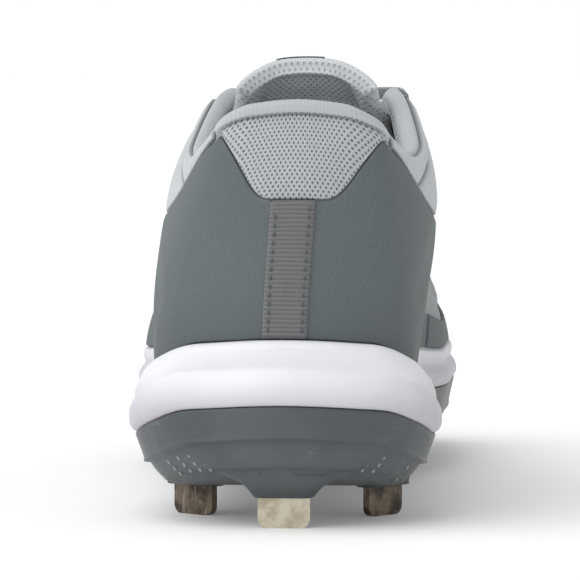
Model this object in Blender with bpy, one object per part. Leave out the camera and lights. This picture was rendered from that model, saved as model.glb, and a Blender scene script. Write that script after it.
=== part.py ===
"""Baseball cleat with metal spikes, a left shoe, modelled as a shoemaker's assembly.

Metres, +Z up. The heel faces -Y, the toe +Y, and +X is the inner (medial) side of the foot.
The model is laid out with the heel end at y = 0 and the floor at z = 0, and moved at the end
so that the origin is the centre of the footprint's bounding box, on the floor.
"""

import math

import bmesh
import bpy
import numpy as np

# Sole sizes
LENGTH = 0.302
BALL_WIDTH = 0.104
HEEL_WIDTH = 0.087
SPIKE_HEIGHT = 0.0085
BOSS_HEIGHT = 0.0015
PLATE_WALL = 0.015
PLATE_THICKNESS = 0.004
PLATE_LIP = 0.0035
BULGE_WIDTH = 0.026
FOAM_WALL = 0.017
SOLE_FLARE = 0.0085
HEEL_STACK = 0.026
FORE_STACK = 0.016
ARCH_RISE = 0.005
TOE_SPRING = 0.010

# Upper sizes
COLLAR_HEIGHT = 0.081
INSTEP_HEIGHT = 0.085
COLLAR_WIDTH = 0.065
THROAT_WIDTH = 0.035
UPPER_LEAN = 0.0030
UPPER_WALL = 0.0022
COLLAR_PADDING = 0.0070
OVERLAY = 0.0009
HEEL_PAD_PUFF = 0.0022
HEEL_PAD_BASE = 0.0910
HEEL_PAD_WIDTH = 0.0475
HEEL_PAD_SHIFT = 0.0010
WEBBING_WIDTH = 0.0124
WEBBING_THICKNESS = 0.0010
COLLAR_PUFF = 0.0010
EYELET_RADIUS = 0.0020
EYELET_EDGE = 0.0075
INSOLE_THICKNESS = 0.0045
TONGUE_THICKNESS = 0.0035
TONGUE_CROWN = 0.0020
CROWN_SPAN = 0.024
TONGUE_TOP_WIDTH = 0.042
TONGUE_TOP_HEIGHT = 0.0975
TONGUE_ARCH = 0.0095
TONGUE_LEAN = 0.016
LACE_WIDTH = 0.0058
LACE_THICKNESS = 0.0016
LACE_RISE = 0.0008
LIP = 0.0015

# Spike sizes
BLADE_WIDTH = 0.0145
BLADE_THICKNESS = 0.0022
BLADE_ROOT = 0.0030
BLADE_CORNER = 0.0026

GAP = 0.0003
RING_POINTS = 52
STAND = SPIKE_HEIGHT + BOSS_HEIGHT
BED_AT_HEEL = STAND + HEEL_STACK

# Sole outline: share of LENGTH from the heel, the width that the row follows, its half width as a
# share of half that width, and the centre line's offset as a share of BALL_WIDTH (+ is medial)
OUTLINE = (
    (0.000, HEEL_WIDTH, 0.000, 0.000),
    (0.010, HEEL_WIDTH, 0.430, 0.000),
    (0.030, HEEL_WIDTH, 0.700, -0.003),
    (0.060, HEEL_WIDTH, 0.880, -0.008),
    (0.100, HEEL_WIDTH, 0.978, -0.014),
    (0.140, HEEL_WIDTH, 1.000, -0.018),
    (0.220, HEEL_WIDTH, 0.960, -0.028),
    (0.370, BALL_WIDTH, 0.745, -0.052),
    (0.500, BALL_WIDTH, 0.830, -0.070),
    (0.650, BALL_WIDTH, 1.000, -0.077),
    (0.760, BALL_WIDTH, 0.985, -0.062),
    (0.850, BALL_WIDTH, 0.890, -0.035),
    (0.910, BALL_WIDTH, 0.770, -0.008),
    (0.955, BALL_WIDTH, 0.590, 0.014),
    (0.985, BALL_WIDTH, 0.360, 0.027),
    (1.000, BALL_WIDTH, 0.000, 0.032),
)

# Sole heights: share of LENGTH, arch rise, toe spring, ledge as a share of the plate's wall,
# plate wall, foam wall, how much of the heel-to-forefoot drop is still there, and the flare
LEVELS = (
    (0.000, 0.45, 0.00, 0.60, 1.37, 1.12, 1.00, 1.00),
    (0.023, 0.20, 0.00, 0.58, 1.38, 1.11, 1.00, 1.00),
    (0.060, 0.05, 0.00, 0.52, 1.25, 1.08, 1.00, 1.00),
    (0.110, 0.00, 0.00, 0.45, 1.05, 0.98, 1.00, 1.00),
    (0.170, 0.05, 0.00, 0.42, 0.97, 0.95, 1.00, 1.00),
    (0.260, 0.50, 0.00, 0.42, 0.88, 0.98, 0.97, 0.98),
    (0.370, 1.00, 0.00, 0.42, 0.82, 0.95, 0.80, 0.92),
    (0.500, 0.80, 0.00, 0.42, 0.90, 0.82, 0.42, 0.84),
    (0.620, 0.15, 0.00, 0.42, 1.08, 0.70, 0.12, 0.76),
    (0.750, 0.00, 0.00, 0.44, 1.15, 0.65, 0.00, 0.70),
    (0.860, 0.00, 0.15, 0.46, 1.10, 0.66, 0.00, 0.68),
    (0.940, 0.00, 0.50, 0.48, 0.98, 0.70, 0.00, 0.68),
    (1.000, 0.00, 1.00, 0.50, 0.85, 0.74, 0.00, 0.70),
)

# Upper ribs, from the footbed to the edge of collar and throat: the base's share of LENGTH, the
# top edge's share of LENGTH, the width that the edge follows and its half width as a share of half
# that width, the height that the edge follows and its share, and four handles as shares of the rib
RIBS = (
    (0.0000, 0.046, COLLAR_WIDTH, 0.00, COLLAR_HEIGHT, 1.000, 0.37, 0.050, -0.020, 0.33),
    (0.0245, 0.050, COLLAR_WIDTH, 0.40, COLLAR_HEIGHT, 0.985, 0.37, 0.050, -0.010, 0.31),
    (0.0545, 0.063, COLLAR_WIDTH, 0.65, COLLAR_HEIGHT, 0.940, 0.38, 0.055, 0.020, 0.29),
    (0.0955, 0.100, COLLAR_WIDTH, 0.82, COLLAR_HEIGHT, 0.872, 0.40, 0.060, 0.060, 0.28),
    (0.1460, 0.146, COLLAR_WIDTH, 0.93, COLLAR_HEIGHT, 0.828, 0.42, 0.070, 0.100, 0.26),
    (0.2060, 0.200, COLLAR_WIDTH, 0.98, COLLAR_HEIGHT, 0.860, 0.41, 0.085, 0.130, 0.25),
    (0.2730, 0.258, COLLAR_WIDTH, 0.90, COLLAR_HEIGHT, 0.970, 0.40, 0.100, 0.160, 0.26),
    (0.3100, 0.291, COLLAR_WIDTH, 0.82, INSTEP_HEIGHT, 0.984, 0.38, 0.105, 0.175, 0.26),
    (0.3450, 0.324, COLLAR_WIDTH, 0.75, INSTEP_HEIGHT, 1.000, 0.37, 0.110, 0.190, 0.25),
    (0.3830, 0.358, COLLAR_WIDTH, 0.67, INSTEP_HEIGHT, 0.972, 0.36, 0.108, 0.210, 0.23),
    (0.4220, 0.392, THROAT_WIDTH, 1.12, INSTEP_HEIGHT, 0.910, 0.36, 0.105, 0.230, 0.20),
    (0.5000, 0.457, THROAT_WIDTH, 0.98, INSTEP_HEIGHT, 0.785, 0.36, 0.100, 0.260, 0.17),
    (0.5780, 0.520, THROAT_WIDTH, 0.84, INSTEP_HEIGHT, 0.668, 0.36, 0.095, 0.280, 0.15),
    (0.6550, 0.576, THROAT_WIDTH, 0.72, INSTEP_HEIGHT, 0.570, 0.36, 0.090, 0.310, 0.13),
    (0.7270, 0.619, THROAT_WIDTH, 0.62, INSTEP_HEIGHT, 0.500, 0.36, 0.080, 0.340, 0.11),
    (0.7940, 0.643, THROAT_WIDTH, 0.49, INSTEP_HEIGHT, 0.465, 0.36, 0.070, 0.370, 0.09),
    (0.8540, 0.653, THROAT_WIDTH, 0.37, INSTEP_HEIGHT, 0.448, 0.36, 0.060, 0.400, 0.08),
    (0.9050, 0.658, THROAT_WIDTH, 0.28, INSTEP_HEIGHT, 0.440, 0.36, 0.055, 0.420, 0.07),
    (0.9755, 0.661, THROAT_WIDTH, 0.14, INSTEP_HEIGHT, 0.433, 0.36, 0.050, 0.440, 0.06),
    (1.0000, 0.662, THROAT_WIDTH, 0.00, INSTEP_HEIGHT, 0.432, 0.36, 0.050, 0.445, 0.06),
)

# Lean of the upper towards the inner side: base's share of LENGTH, and how much of UPPER_LEAN its
# top edge has there
LEANING = (
    (0.00, 1.00),
    (0.40, 1.00),
    (0.60, 0.50),
    (0.75, 0.10),
    (1.00, 0.00),
)

# Wall of the upper: base's share of LENGTH, and how much of the collar's padding it has at the edge
PADDING = (
    (0.00, 0.95),
    (0.10, 1.00),
    (0.25, 1.00),
    (0.33, 0.70),
    (0.42, 0.10),
    (0.55, 0.00),
    (1.00, 0.00),
)

# Side of the foam: share of the foam wall's height from below, inset as a share of SOLE_FLARE
FOAM_SIDE = (
    (0.00, 0.10),
    (0.08, 0.02),
    (0.22, 0.00),
    (0.38, 0.09),
    (0.50, 0.25),
    (0.58, 0.33),
    (0.66, 0.29),
    (0.80, 0.25),
    (0.93, 0.31),
    (1.00, 0.47),
)

# Side of the plate below its ledge: share of the ledge's height, inset as a share of the flare, the
# inset over the heel's bulge, and the bulge's half width as a share of BULGE_WIDTH
PLATE_SIDE = (
    (1.00, 0.60, 0.60, 1.00),
    (0.55, 0.85, 0.64, 0.86),
    (0.18, 1.12, 0.78, 0.66),
    (0.00, 1.45, 1.10, 0.50),
)

# Upper edge of the dark rear quarter: base's share of LENGTH, share of the rib's length
QUARTER_EDGE = (
    (0.000, 0.94),
    (0.050, 0.94),
    (0.085, 0.92),
    (0.120, 0.85),
    (0.165, 0.75),
    (0.220, 0.65),
    (0.290, 0.54),
    (0.370, 0.43),
    (0.450, 0.34),
    (0.540, 0.29),
)

# Upper edge of the toe guard, in the same way
GUARD_EDGE = (
    (0.545, 0.290),
    (0.640, 0.275),
    (0.740, 0.270),
    (0.840, 0.290),
    (0.920, 0.330),
    (1.000, 0.370),
)

# Lower edge of the eyestay, in the same way
EYESTAY_EDGE = (
    (0.330, 0.810),
    (0.380, 0.795),
    (0.450, 0.785),
    (0.600, 0.780),
    (0.720, 0.790),
    (0.820, 0.820),
    (0.920, 0.850),
    (1.000, 0.860),
)

# Lower edge of the ribbed collar panel, in the same way
COLLAR_EDGE = (
    (0.050, 0.955),
    (0.085, 0.935),
    (0.120, 0.865),
    (0.165, 0.765),
    (0.205, 0.700),
    (0.240, 0.690),
    (0.280, 0.705),
    (0.320, 0.740),
)

# Lower edge of the heel pad: distance from the middle as a share of half its width, and how far
# the edge has risen from the pad's base to the collar's edge
PAD_EDGE = (
    (0.00, 0.00),
    (0.40, 0.00),
    (0.50, 0.06),
    (0.62, 0.24),
    (0.78, 0.52),
    (0.92, 0.80),
    (1.00, 1.00),
)

# Eyelet pairs: the share of LENGTH of the rib that each one is on
EYELETS = (0.378, 0.431, 0.489, 0.548, 0.611, 0.682)

# Free end of the tongue: shares of the way to its tip across, back and up, and the thickness as a
# share of TONGUE_THICKNESS
TONGUE_TIP = (
    (0.70, 0.12, 0.30, 1.15),
    (0.95, 0.50, 0.66, 1.35),
    (1.00, 0.88, 0.93, 1.45),
    (1.00, 1.00, 1.00, 0.80),
)

# Spikes: name, share of LENGTH, distance from the sole's centre line as a share of the half width
# there (+ is medial), and turn about Z in degrees, where 0 is a blade that faces the heel
SPIKES = (
    ("spike_heel_rear", 0.052, 0.00, 0),
    ("spike_heel_medial", 0.170, 0.64, 52),
    ("spike_heel_lateral", 0.170, -0.60, -38),
    ("spike_ball_medial", 0.585, 0.66, 68),
    ("spike_ball_lateral", 0.560, -0.68, -64),
    ("spike_mid_medial", 0.715, 0.66, 82),
    ("spike_mid_lateral", 0.700, -0.68, -78),
    ("spike_toe_medial", 0.870, 0.52, 142),
    ("spike_toe_lateral", 0.850, -0.58, -142),
)


def station_of(along):
    """Position round half the ring, 0 at the heel and 1 at the toe, of a share of the length."""
    return np.arccos(1 - 2 * np.clip(along, 0, 1)) / math.pi


def smooth(places, values, flat_ends=True):
    """A monotone cubic through the values, over places given as shares of the length."""
    at = station_of(np.array(places, float))
    value = np.array(values, float)
    slope = np.diff(value) / np.diff(at)
    tangent = np.zeros_like(value)
    same_way = slope[:-1] * slope[1:] > 0
    both = np.where(same_way, slope[:-1] + slope[1:], 1)
    tangent[1:-1] = np.where(same_way, 2 * slope[:-1] * slope[1:] / both, 0)
    if not flat_ends:
        tangent[0], tangent[-1] = slope[0], slope[-1]

    def evaluate(station):
        station = np.clip(station, at[0], at[-1])
        i = np.clip(np.searchsorted(at, station) - 1, 0, len(at) - 2)
        width = at[i + 1] - at[i]
        t = (station - at[i]) / width
        return (
            value[i] * (1 + 2 * t) * (1 - t) ** 2
            + value[i + 1] * t * t * (3 - 2 * t)
            + width * tangent[i] * t * (1 - t) ** 2
            - width * tangent[i + 1] * t * t * (1 - t)
        )

    return evaluate


def column(table, number):
    return [row[number] for row in table]


HALF_WIDTH = smooth(column(OUTLINE, 0), [row[1] / 2 * row[2] for row in OUTLINE], flat_ends=False)
CENTRE = smooth(column(OUTLINE, 0), [BALL_WIDTH * row[3] for row in OUTLINE])
ARCH, SPRING, LEDGE, PLATE, FOAM, DROP, FLARE = (
    smooth(column(LEVELS, 0), column(LEVELS, n)) for n in range(1, 8)
)
TOP_ALONG = smooth(column(RIBS, 0), [LENGTH * row[1] for row in RIBS])
TOP_HALF = smooth(column(RIBS, 0), [row[2] / 2 * row[3] for row in RIBS], flat_ends=False)
TOP_HEIGHT = smooth(column(RIBS, 0), [row[4] * row[5] for row in RIBS])
BASE_UP, BASE_OUT, TOP_OUT, TOP_DOWN = (smooth(column(RIBS, 0), column(RIBS, n)) for n in range(6, 10))
PADDED = smooth(column(PADDING, 0), column(PADDING, 1))
LEAN = smooth(column(LEANING, 0), column(LEANING, 1))


def fold(ring):
    """Station and side of a ring position, which runs 0 to 1 up the medial side and 1 to 2 back."""
    ring = np.mod(ring, 2)
    return 1 - np.abs(1 - ring), np.where(ring < 1, 1.0, -1.0)


def under_height(station):
    """Height of the plate's underside."""
    return STAND + ARCH_RISE * ARCH(station) + TOE_SPRING * SPRING(station)


def foam_low(station):
    """Height of the line where the plate's side meets the foam's."""
    return under_height(station) + PLATE_WALL * PLATE(station)


def foam_rim(station):
    """Height of the foam's upper edge."""
    return foam_low(station) + FOAM_WALL * FOAM(station)


def bed_height(station):
    """Height of the foam's footbed."""
    drop = (HEEL_STACK - FORE_STACK) * DROP(station)
    return STAND + FORE_STACK + drop + 0.6 * TOE_SPRING * SPRING(station)


def flare(station):
    """How far the sole's widest line stands out from the upper's base."""
    return SOLE_FLARE * FLARE(station)


def outline(ring, inset):
    """Plan points and outward normals of the sole's widest outline, moved inwards by inset."""
    ring = np.asarray(ring, float)

    def plan(at):
        station, side = fold(at)
        y = LENGTH * (1 - np.cos(math.pi * station)) / 2
        return np.stack([CENTRE(station) + side * HALF_WIDTH(station), y], -1)

    step = 2e-3
    along = plan(ring + step) - plan(ring - step)
    normal = np.stack([along[..., 1], -along[..., 0]], -1)
    normal /= np.linalg.norm(normal, axis=-1, keepdims=True)
    return plan(ring) - normal * np.asarray(inset)[..., None], normal


def level(ring, inset, height):
    """A loop at an inset from the sole's outline, at a height."""
    flat, _ = outline(ring, np.broadcast_to(inset, np.shape(ring)))
    return np.concatenate([flat, np.broadcast_to(height, np.shape(ring))[..., None]], -1)


def ribs(ring):
    """The four control points of each rib of the upper."""
    station, side = fold(ring)
    base, normal = outline(ring, flare(station))
    base_z = bed_height(station) + GAP
    top_x = side * TOP_HALF(station) + UPPER_LEAN * LEAN(station)
    top = np.stack([top_x, TOP_ALONG(station)], -1)
    top_z = BED_AT_HEEL + TOP_HEIGHT(station)
    steady = 0.01 * normal
    out = base - top + steady
    out /= np.linalg.norm(out, axis=-1, keepdims=True)
    start = np.concatenate([base, base_z[..., None]], -1)
    end = np.concatenate([top, top_z[..., None]], -1)
    chord = np.linalg.norm(end - start, axis=-1)

    def handle(sideways, upwards):
        flat = out * (sideways * chord)[..., None]
        return np.concatenate([flat, (upwards * chord)[..., None]], -1)

    first = start + handle(BASE_OUT(station), BASE_UP(station))
    second = end + handle(TOP_OUT(station), -TOP_DOWN(station))
    return np.stack([start, first, second, end], -2)


def bezier(points, t):
    t = t[..., None]
    p = [points[..., n, :] for n in range(4)]
    u = 1 - t
    return u**3 * p[0] + 3 * u * u * t * p[1] + 3 * u * t * t * p[2] + t**3 * p[3]


def surface(ring, share):
    """Points of the upper's outer face at ring positions (n,) and shares of rib length (n, m)."""
    control = ribs(ring)[:, None]
    t = np.linspace(0, 1, 33)
    sampled = bezier(control, np.broadcast_to(t, (len(ring), len(t))))
    length = np.cumsum(np.linalg.norm(np.diff(sampled, axis=1), axis=-1), axis=1)
    length = np.concatenate([np.zeros((len(ring), 1)), length], 1) / length[:, -1:]
    at = np.stack([np.interp(s, row, t) for s, row in zip(share, length)])
    return bezier(control, at)


def offset_surface(ring, share, offset):
    """The upper's outer face moved along its normal, outwards where the offset is positive."""
    ring = np.asarray(ring, float)
    share = np.asarray(share, float)
    step = 2e-3
    round_the_ring = surface(ring + step, share) - surface(ring - step, share)
    up_the_rib = surface(ring, np.minimum(share + step, 1)) - surface(ring, np.maximum(share - step, 0))
    normal = np.cross(round_the_ring, up_the_rib)
    normal /= np.linalg.norm(normal, axis=-1, keepdims=True)
    return surface(ring, share) + normal * np.asarray(offset)[..., None]


def wall(ring, share):
    """Thickness of the upper: a thin skin that swells into the collar's padding."""
    station, _ = fold(ring)
    swell = np.clip((share - 0.55) / 0.35, 0, 1)
    swell = swell * swell * (3 - 2 * swell)
    rim = np.clip((1 - share) / 0.06, 0, 1)
    soft_edge = 0.62 + 0.38 * np.sqrt(rim * (2 - rim))
    padding = (COLLAR_PADDING - UPPER_WALL) * PADDED(station)[:, None]
    return UPPER_WALL + padding * swell * soft_edge


def share_at_height(ring, height):
    """Share of each rib's length at which it reaches a height."""
    shares = np.broadcast_to(np.linspace(0, 0.6, 61), (len(ring), 61))
    z = surface(ring, shares)[..., 2]
    return np.stack([np.interp(h, row, shares[0]) for h, row in zip(height, z)])


def material(name, colour, roughness, metallic=0.0):
    made = bpy.data.materials.new(name)
    made.use_nodes = True
    shader = made.node_tree.nodes["Principled BSDF"]
    shader.inputs["Base Color"].default_value = (*colour, 1)
    shader.inputs["Roughness"].default_value = roughness
    shader.inputs["Metallic"].default_value = metallic
    return made


MATERIALS = {
    "dark_synthetic": material("dark_synthetic", (0.130, 0.150, 0.155), 0.55),
    "light_textile": material("light_textile", (0.400, 0.425, 0.435), 0.80),
    "padded_mesh": material("padded_mesh", (0.440, 0.455, 0.475), 0.85),
    "webbing": material("webbing", (0.200, 0.205, 0.210), 0.75),
    "foam": material("foam", (0.860, 0.865, 0.885), 0.50),
    "plate": material("plate", (0.105, 0.120, 0.128), 0.45),
    "steel": material("steel", (0.560, 0.530, 0.480), 0.32, 1.0),
    "lace": material("lace", (0.420, 0.440, 0.450), 0.80),
    "insole_foam": material("insole_foam", (0.090, 0.100, 0.105), 0.90),
}


def solid(name, points, faces, material_name, shade=True):
    """A named object from points and faces, with its faces pointing out."""
    mesh = bpy.data.meshes.new(name)
    mesh.from_pydata([tuple(map(float, p)) for p in points], [], faces)
    shape = bmesh.new()
    shape.from_mesh(mesh)
    bmesh.ops.recalc_face_normals(shape, faces=shape.faces)
    shape.to_mesh(mesh)
    shape.free()
    if shade:
        mesh.shade_smooth()
        mesh.set_sharp_from_angle(angle=math.radians(40))
    made = bpy.data.objects.new(name, mesh)
    made.data.materials.append(MATERIALS[material_name])
    bpy.context.scene.collection.objects.link(made)
    return made


def ring_faces(first, second, count, closed=True):
    """Quads between two rows of points, given the index of each row's first point."""
    last = count if closed else count - 1
    return [
        (first + i, first + (i + 1) % count, second + (i + 1) % count, second + i) for i in range(last)
    ]


def cap_across(first, count):
    """Closes a loop that is symmetrical about its heel and toe points, with strips across it."""
    half = count // 2
    faces = [(first, first + 1, first + count - 1), (first + half - 1, first + half, first + half + 1)]
    for i in range(1, half - 1):
        faces.append((first + i, first + i + 1, first + count - i - 1, first + count - i))
    return faces


def loft(name, loops, material_name, capped=True):
    """A solid through closed loops of equal count. Without caps, the last loop joins the first."""
    count = len(loops[0])
    faces = []
    for n in range(len(loops) - 1):
        faces += ring_faces(n * count, (n + 1) * count, count)
    if capped:
        faces += cap_across(0, count) + cap_across((len(loops) - 1) * count, count)
    else:
        faces += ring_faces((len(loops) - 1) * count, 0, count)
    return solid(name, np.concatenate(loops), faces, material_name)


def shell(name, outer, inner, faces, material_name):
    """A solid between two sheets of points that share their faces. Points that coincide are welded."""
    first_at = {}
    weld = [first_at.setdefault(tuple(np.round(p, 6)), n) for n, p in enumerate(outer)]
    kept = []
    for face in faces:
        corners = list(dict.fromkeys(weld[i] for i in face))
        if len(corners) > 2:
            kept.append(tuple(corners))
    used = sorted({i for face in kept for i in face})
    number = {old: new for new, old in enumerate(used)}
    kept = [tuple(number[i] for i in face) for face in kept]
    edges = [tuple(sorted(pair)) for face in kept for pair in zip(face, face[1:] + face[:1])]
    total = len(used)
    walls = [(a, b, total + b, total + a) for a, b in edges if edges.count((a, b)) == 1]
    faces = kept + [tuple(i + total for i in face) for face in kept] + walls
    return solid(name, np.concatenate([outer[used], inner[used]]), faces, material_name)


def grid_faces(rows, columns):
    """Quads of a sheet of points that is stored row by row."""
    faces = []
    for n in range(rows - 1):
        faces += ring_faces(n * columns, (n + 1) * columns, columns, closed=False)
    return faces


def tool(made):
    """Marks an object as a cutter, which isn't part of the shoe."""
    made.hide_render = True
    made.display_type = "WIRE"
    return made


def boolean(target, other, operation):
    modifier = target.modifiers.new(other.name, "BOOLEAN")
    modifier.operation = operation
    modifier.solver = "EXACT"
    modifier.object = other


RING = np.arange(RING_POINTS) * 2 / RING_POINTS
STATION, SIDE = fold(RING)
FLARED = flare(STATION)
ABOVE_RIM = np.array([0.10, 0.22, 0.36, 0.50, 0.64, 0.77, 0.88, 0.96, 1.0])
AT_RIM = share_at_height(RING, foam_rim(STATION))[:, None]
SHARES = np.concatenate([AT_RIM * [0, 0.5, 1.0], AT_RIM + (1 - AT_RIM) * ABOVE_RIM], 1)
ROWS = SHARES.shape[1]
RIM_ROW = 2
INNER_ROWS = [0, 1, 2, 4, 5, 6, 7, 8, 9, 10, 11]
FACE = offset_surface(RING, SHARES, np.zeros(SHARES.shape))
FACE_NORMAL = (offset_surface(RING, SHARES, np.full(SHARES.shape, 0.001)) - FACE) / 0.001


def crowned(loop, share, height_at, lift):
    """A loop drawn in towards the centre line by a share, lifted over a height function."""
    points = loop.copy()
    centre_y = np.clip(loop[:, 1], 0.12 * LENGTH, 0.90 * LENGTH)
    points[:, 0] += (CENTRE(STATION) - loop[:, 0]) * share
    points[:, 1] += (centre_y - loop[:, 1]) * share
    points[:, 2] = height_at(station_of(points[:, 1] / LENGTH)) + lift
    return points


def plate_inset(share, bulged, width):
    """Inset of a row of the plate's side, which bulges at the heel down to the rear spike."""
    x = level(RING, share * FLARED, 0)[:, 0]
    near_heel = STATION < station_of(0.06)
    fade = np.clip(1.5 - np.abs(x) / (BULGE_WIDTH * width), 0, 1)
    fade = fade * fade * (3 - 2 * fade) * near_heel
    return share + (bulged - share) * fade


def make_outsole():
    """The moulded plate: a shallow cup with a ledge round it, and a boss for each spike."""
    low = foam_low(STATION)
    under = under_height(STATION)
    ledge = under + (low - under) * LEDGE(STATION)
    floor = level(RING, PLATE_LIP + 0.006, under + PLATE_THICKNESS)
    loops = [
        crowned(floor, 0.5, under_height, PLATE_THICKNESS),
        floor,
        level(RING, PLATE_LIP, low - 0.002),
        level(RING, PLATE_LIP - 0.001, low),
        level(RING, 0.10 * FLARED, low),
        level(RING, 0.28 * FLARED, 0.55 * low + 0.45 * ledge),
        level(RING, 0.46 * FLARED, ledge),
    ]
    for up, share, bulged, width in PLATE_SIDE:
        loops.append(level(RING, plate_inset(share, bulged, width) * FLARED, under + (ledge - under) * up))
    loops.append(crowned(loops[-1], 0.45, under_height, 0))
    plate = loft("outsole", loops, "plate")
    boolean(plate, make_bosses(), "UNION")
    boolean(plate, make_slots(), "DIFFERENCE")
    return plate


def spike_place(along, across):
    """The middle of a spike on the sole, and the height of the plate over it."""
    station = station_of(along)
    x = CENTRE(station) + across * HALF_WIDTH(station)
    return float(x), along * LENGTH, float(under_height(station))


def rounded_rectangle(width, depth, corner, height, steps=3):
    """Points round a rectangle with round corners, in its own plane at a height."""
    points = []
    for turn, (sx, sy) in enumerate(((1, 1), (-1, 1), (-1, -1), (1, -1))):
        for n in range(steps):
            angle = math.radians(90 * (turn + n / (steps - 1)))
            x = sx * (width / 2 - corner) + corner * math.cos(angle)
            y = sy * (depth / 2 - corner) + corner * math.sin(angle)
            points.append((x, y, height))
    return np.array(points)


def turned(points, degrees, x, y):
    angle = math.radians(degrees)
    cos, sin = math.cos(angle), math.sin(angle)
    moved = points.copy()
    moved[:, 0] = points[:, 0] * cos - points[:, 1] * sin + x
    moved[:, 1] = points[:, 0] * sin + points[:, 1] * cos + y
    return moved


def prism(loops):
    """Points and faces of a solid through loops with flat ends."""
    count = len(loops[0])
    faces = [tuple(range(count)), tuple(range((len(loops) - 1) * count, len(loops) * count))]
    for n in range(len(loops) - 1):
        faces += ring_faces(n * count, (n + 1) * count, count)
    return np.concatenate(loops), faces


def joined(name, shapes):
    """One cutter from several closed shapes that don't touch each other."""
    points, faces, start = [], [], 0
    for shape_points, shape_faces in shapes:
        points.append(shape_points)
        faces += [tuple(i + start for i in face) for face in shape_faces]
        start += len(shape_points)
    return tool(solid(name, np.concatenate(points), faces, "plate", shade=False))


def make_bosses():
    """Tapered mouldings that carry the spikes. The rear one is broader, under the heel's bulge."""
    shapes = []
    for name, along, across, degrees in SPIKES:
        x, y, under = spike_place(along, across)
        rows = [(0.0035, 0.0045, 0.0025, SPIKE_HEIGHT), (0.0060, 0.0080, 0.0035, STAND)]
        if name == "spike_heel_rear":
            rows.append((0.0110, 0.0110, 0.0055, under + PLATE_THICKNESS / 2))
        else:
            rows.append((0.0085, 0.0105, 0.0050, under + PLATE_THICKNESS / 2))
        loops = [
            rounded_rectangle(BLADE_WIDTH + wide, BLADE_THICKNESS + deep, corner, height)
            for wide, deep, corner, height in rows
        ]
        shapes.append(prism([turned(loop, degrees, x, y) for loop in loops]))
    return joined("boss_tool", shapes)


def make_slots():
    """Sockets in the bosses for the roots of the spikes."""
    shapes = []
    for _, along, across, degrees in SPIKES:
        x, y, _ = spike_place(along, across)
        width = BLADE_WIDTH + 2 * GAP
        depth = BLADE_THICKNESS + 2 * GAP
        top = SPIKE_HEIGHT + BLADE_ROOT + GAP
        low = rounded_rectangle(width, depth, GAP, SPIKE_HEIGHT - 0.002, steps=2)
        high = rounded_rectangle(width, depth, GAP, top, steps=2)
        shapes.append(prism([turned(loop, degrees, x, y) for loop in (low, high)]))
    return joined("slot_tool", shapes)


def make_spike(name, along, across, degrees):
    """A steel blade with round lower corners, its root in the boss and its tip on the floor."""
    half = BLADE_WIDTH / 2
    top = SPIKE_HEIGHT + BLADE_ROOT
    corner_steps = 4
    profile = [(-half, top)]
    for n in range(corner_steps + 1):
        angle = math.radians(180 + 90 * n / corner_steps)
        profile.append((BLADE_CORNER * (1 + math.cos(angle)) - half, BLADE_CORNER * (1 + math.sin(angle))))
    profile += [(-x, z) for x, z in reversed(profile)]
    loops = [np.array([(x, y, z) for x, z in profile]) for y in (-BLADE_THICKNESS / 2, BLADE_THICKNESS / 2)]
    x, y, _ = spike_place(along, across)
    points, faces = prism([turned(loop, degrees, x, y) for loop in loops])
    return solid(name, points, faces, "steel")


def make_midsole():
    """The foam: its side has a full lower band, a groove and an upper band that cups the upper."""
    low, rim = foam_low(STATION), foam_rim(STATION)
    under = under_height(STATION)
    floor = level(RING, PLATE_LIP + 0.006 + GAP, under + PLATE_THICKNESS + GAP)
    loops = [
        crowned(floor, 0.5, under_height, PLATE_THICKNESS + GAP),
        floor,
        level(RING, PLATE_LIP + GAP, low - 0.002 + GAP),
        level(RING, PLATE_LIP - 0.001 + GAP, low + GAP),
    ]
    for up, share in FOAM_SIDE:
        loops.append(level(RING, share * FLARED, low + GAP + (rim - low - GAP) * up))
    at_rim = share_at_height(RING, rim)
    for part in (1.0, 0.5, 0.0):
        share = (at_rim * part)[:, None]
        loop = offset_surface(RING, share, np.full(share.shape, GAP))[:, 0]
        if part == 0.0:
            loop[:, 2] = bed_height(STATION)
        loops.append(loop)
    loops.append(crowned(loops[-1], 0.5, bed_height, 0))
    return loft("midsole", loops, "foam")


def make_upper():
    """The hollow upper: outer face, soft lip at collar and throat, and inner face, open below."""
    inner_shares = SHARES[:, INNER_ROWS]
    inner = offset_surface(RING, inner_shares, -wall(RING, inner_shares))
    inner[:, 0, 2] = FACE[:, 0, 2]
    lip = (FACE[:, -1] + inner[:, -1]) / 2
    rise = FACE[:, -1] - FACE[:, -2]
    rise /= np.linalg.norm(rise, axis=-1, keepdims=True)
    lip += rise * (0.30 * wall(RING, np.ones((RING_POINTS, 1))))
    loops = [FACE[:, n] for n in range(ROWS)] + [lip]
    loops += [inner[:, n] for n in range(len(INNER_ROWS) - 1, -1, -1)]
    upper = loft("upper", loops, "light_textile", capped=False)
    boolean(upper, EYELET_TOOL, "DIFFERENCE")
    return upper


def on_facets(ring, row, offset):
    """Points over the upper's facets, at ring positions and grid rows, moved out by an offset."""
    at = np.mod(ring, 2) * RING_POINTS / 2
    first = np.floor(at + 1e-9).astype(int)
    part = np.clip(at - first, 0, 1)[..., None]
    low = np.clip(np.floor(row + 1e-9).astype(int), 0, ROWS - 2)
    up = (row - low)[..., None]
    corners = []
    for i in (first % RING_POINTS, (first + 1) % RING_POINTS):
        for j in (low, low + 1):
            corners.append(FACE[i, j] + FACE_NORMAL[i, j] * np.asarray(offset)[..., None])
    near = corners[0] * (1 - up) + corners[1] * up
    far = corners[2] * (1 - up) + corners[3] * up
    return near * (1 - part) + far * part


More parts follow.
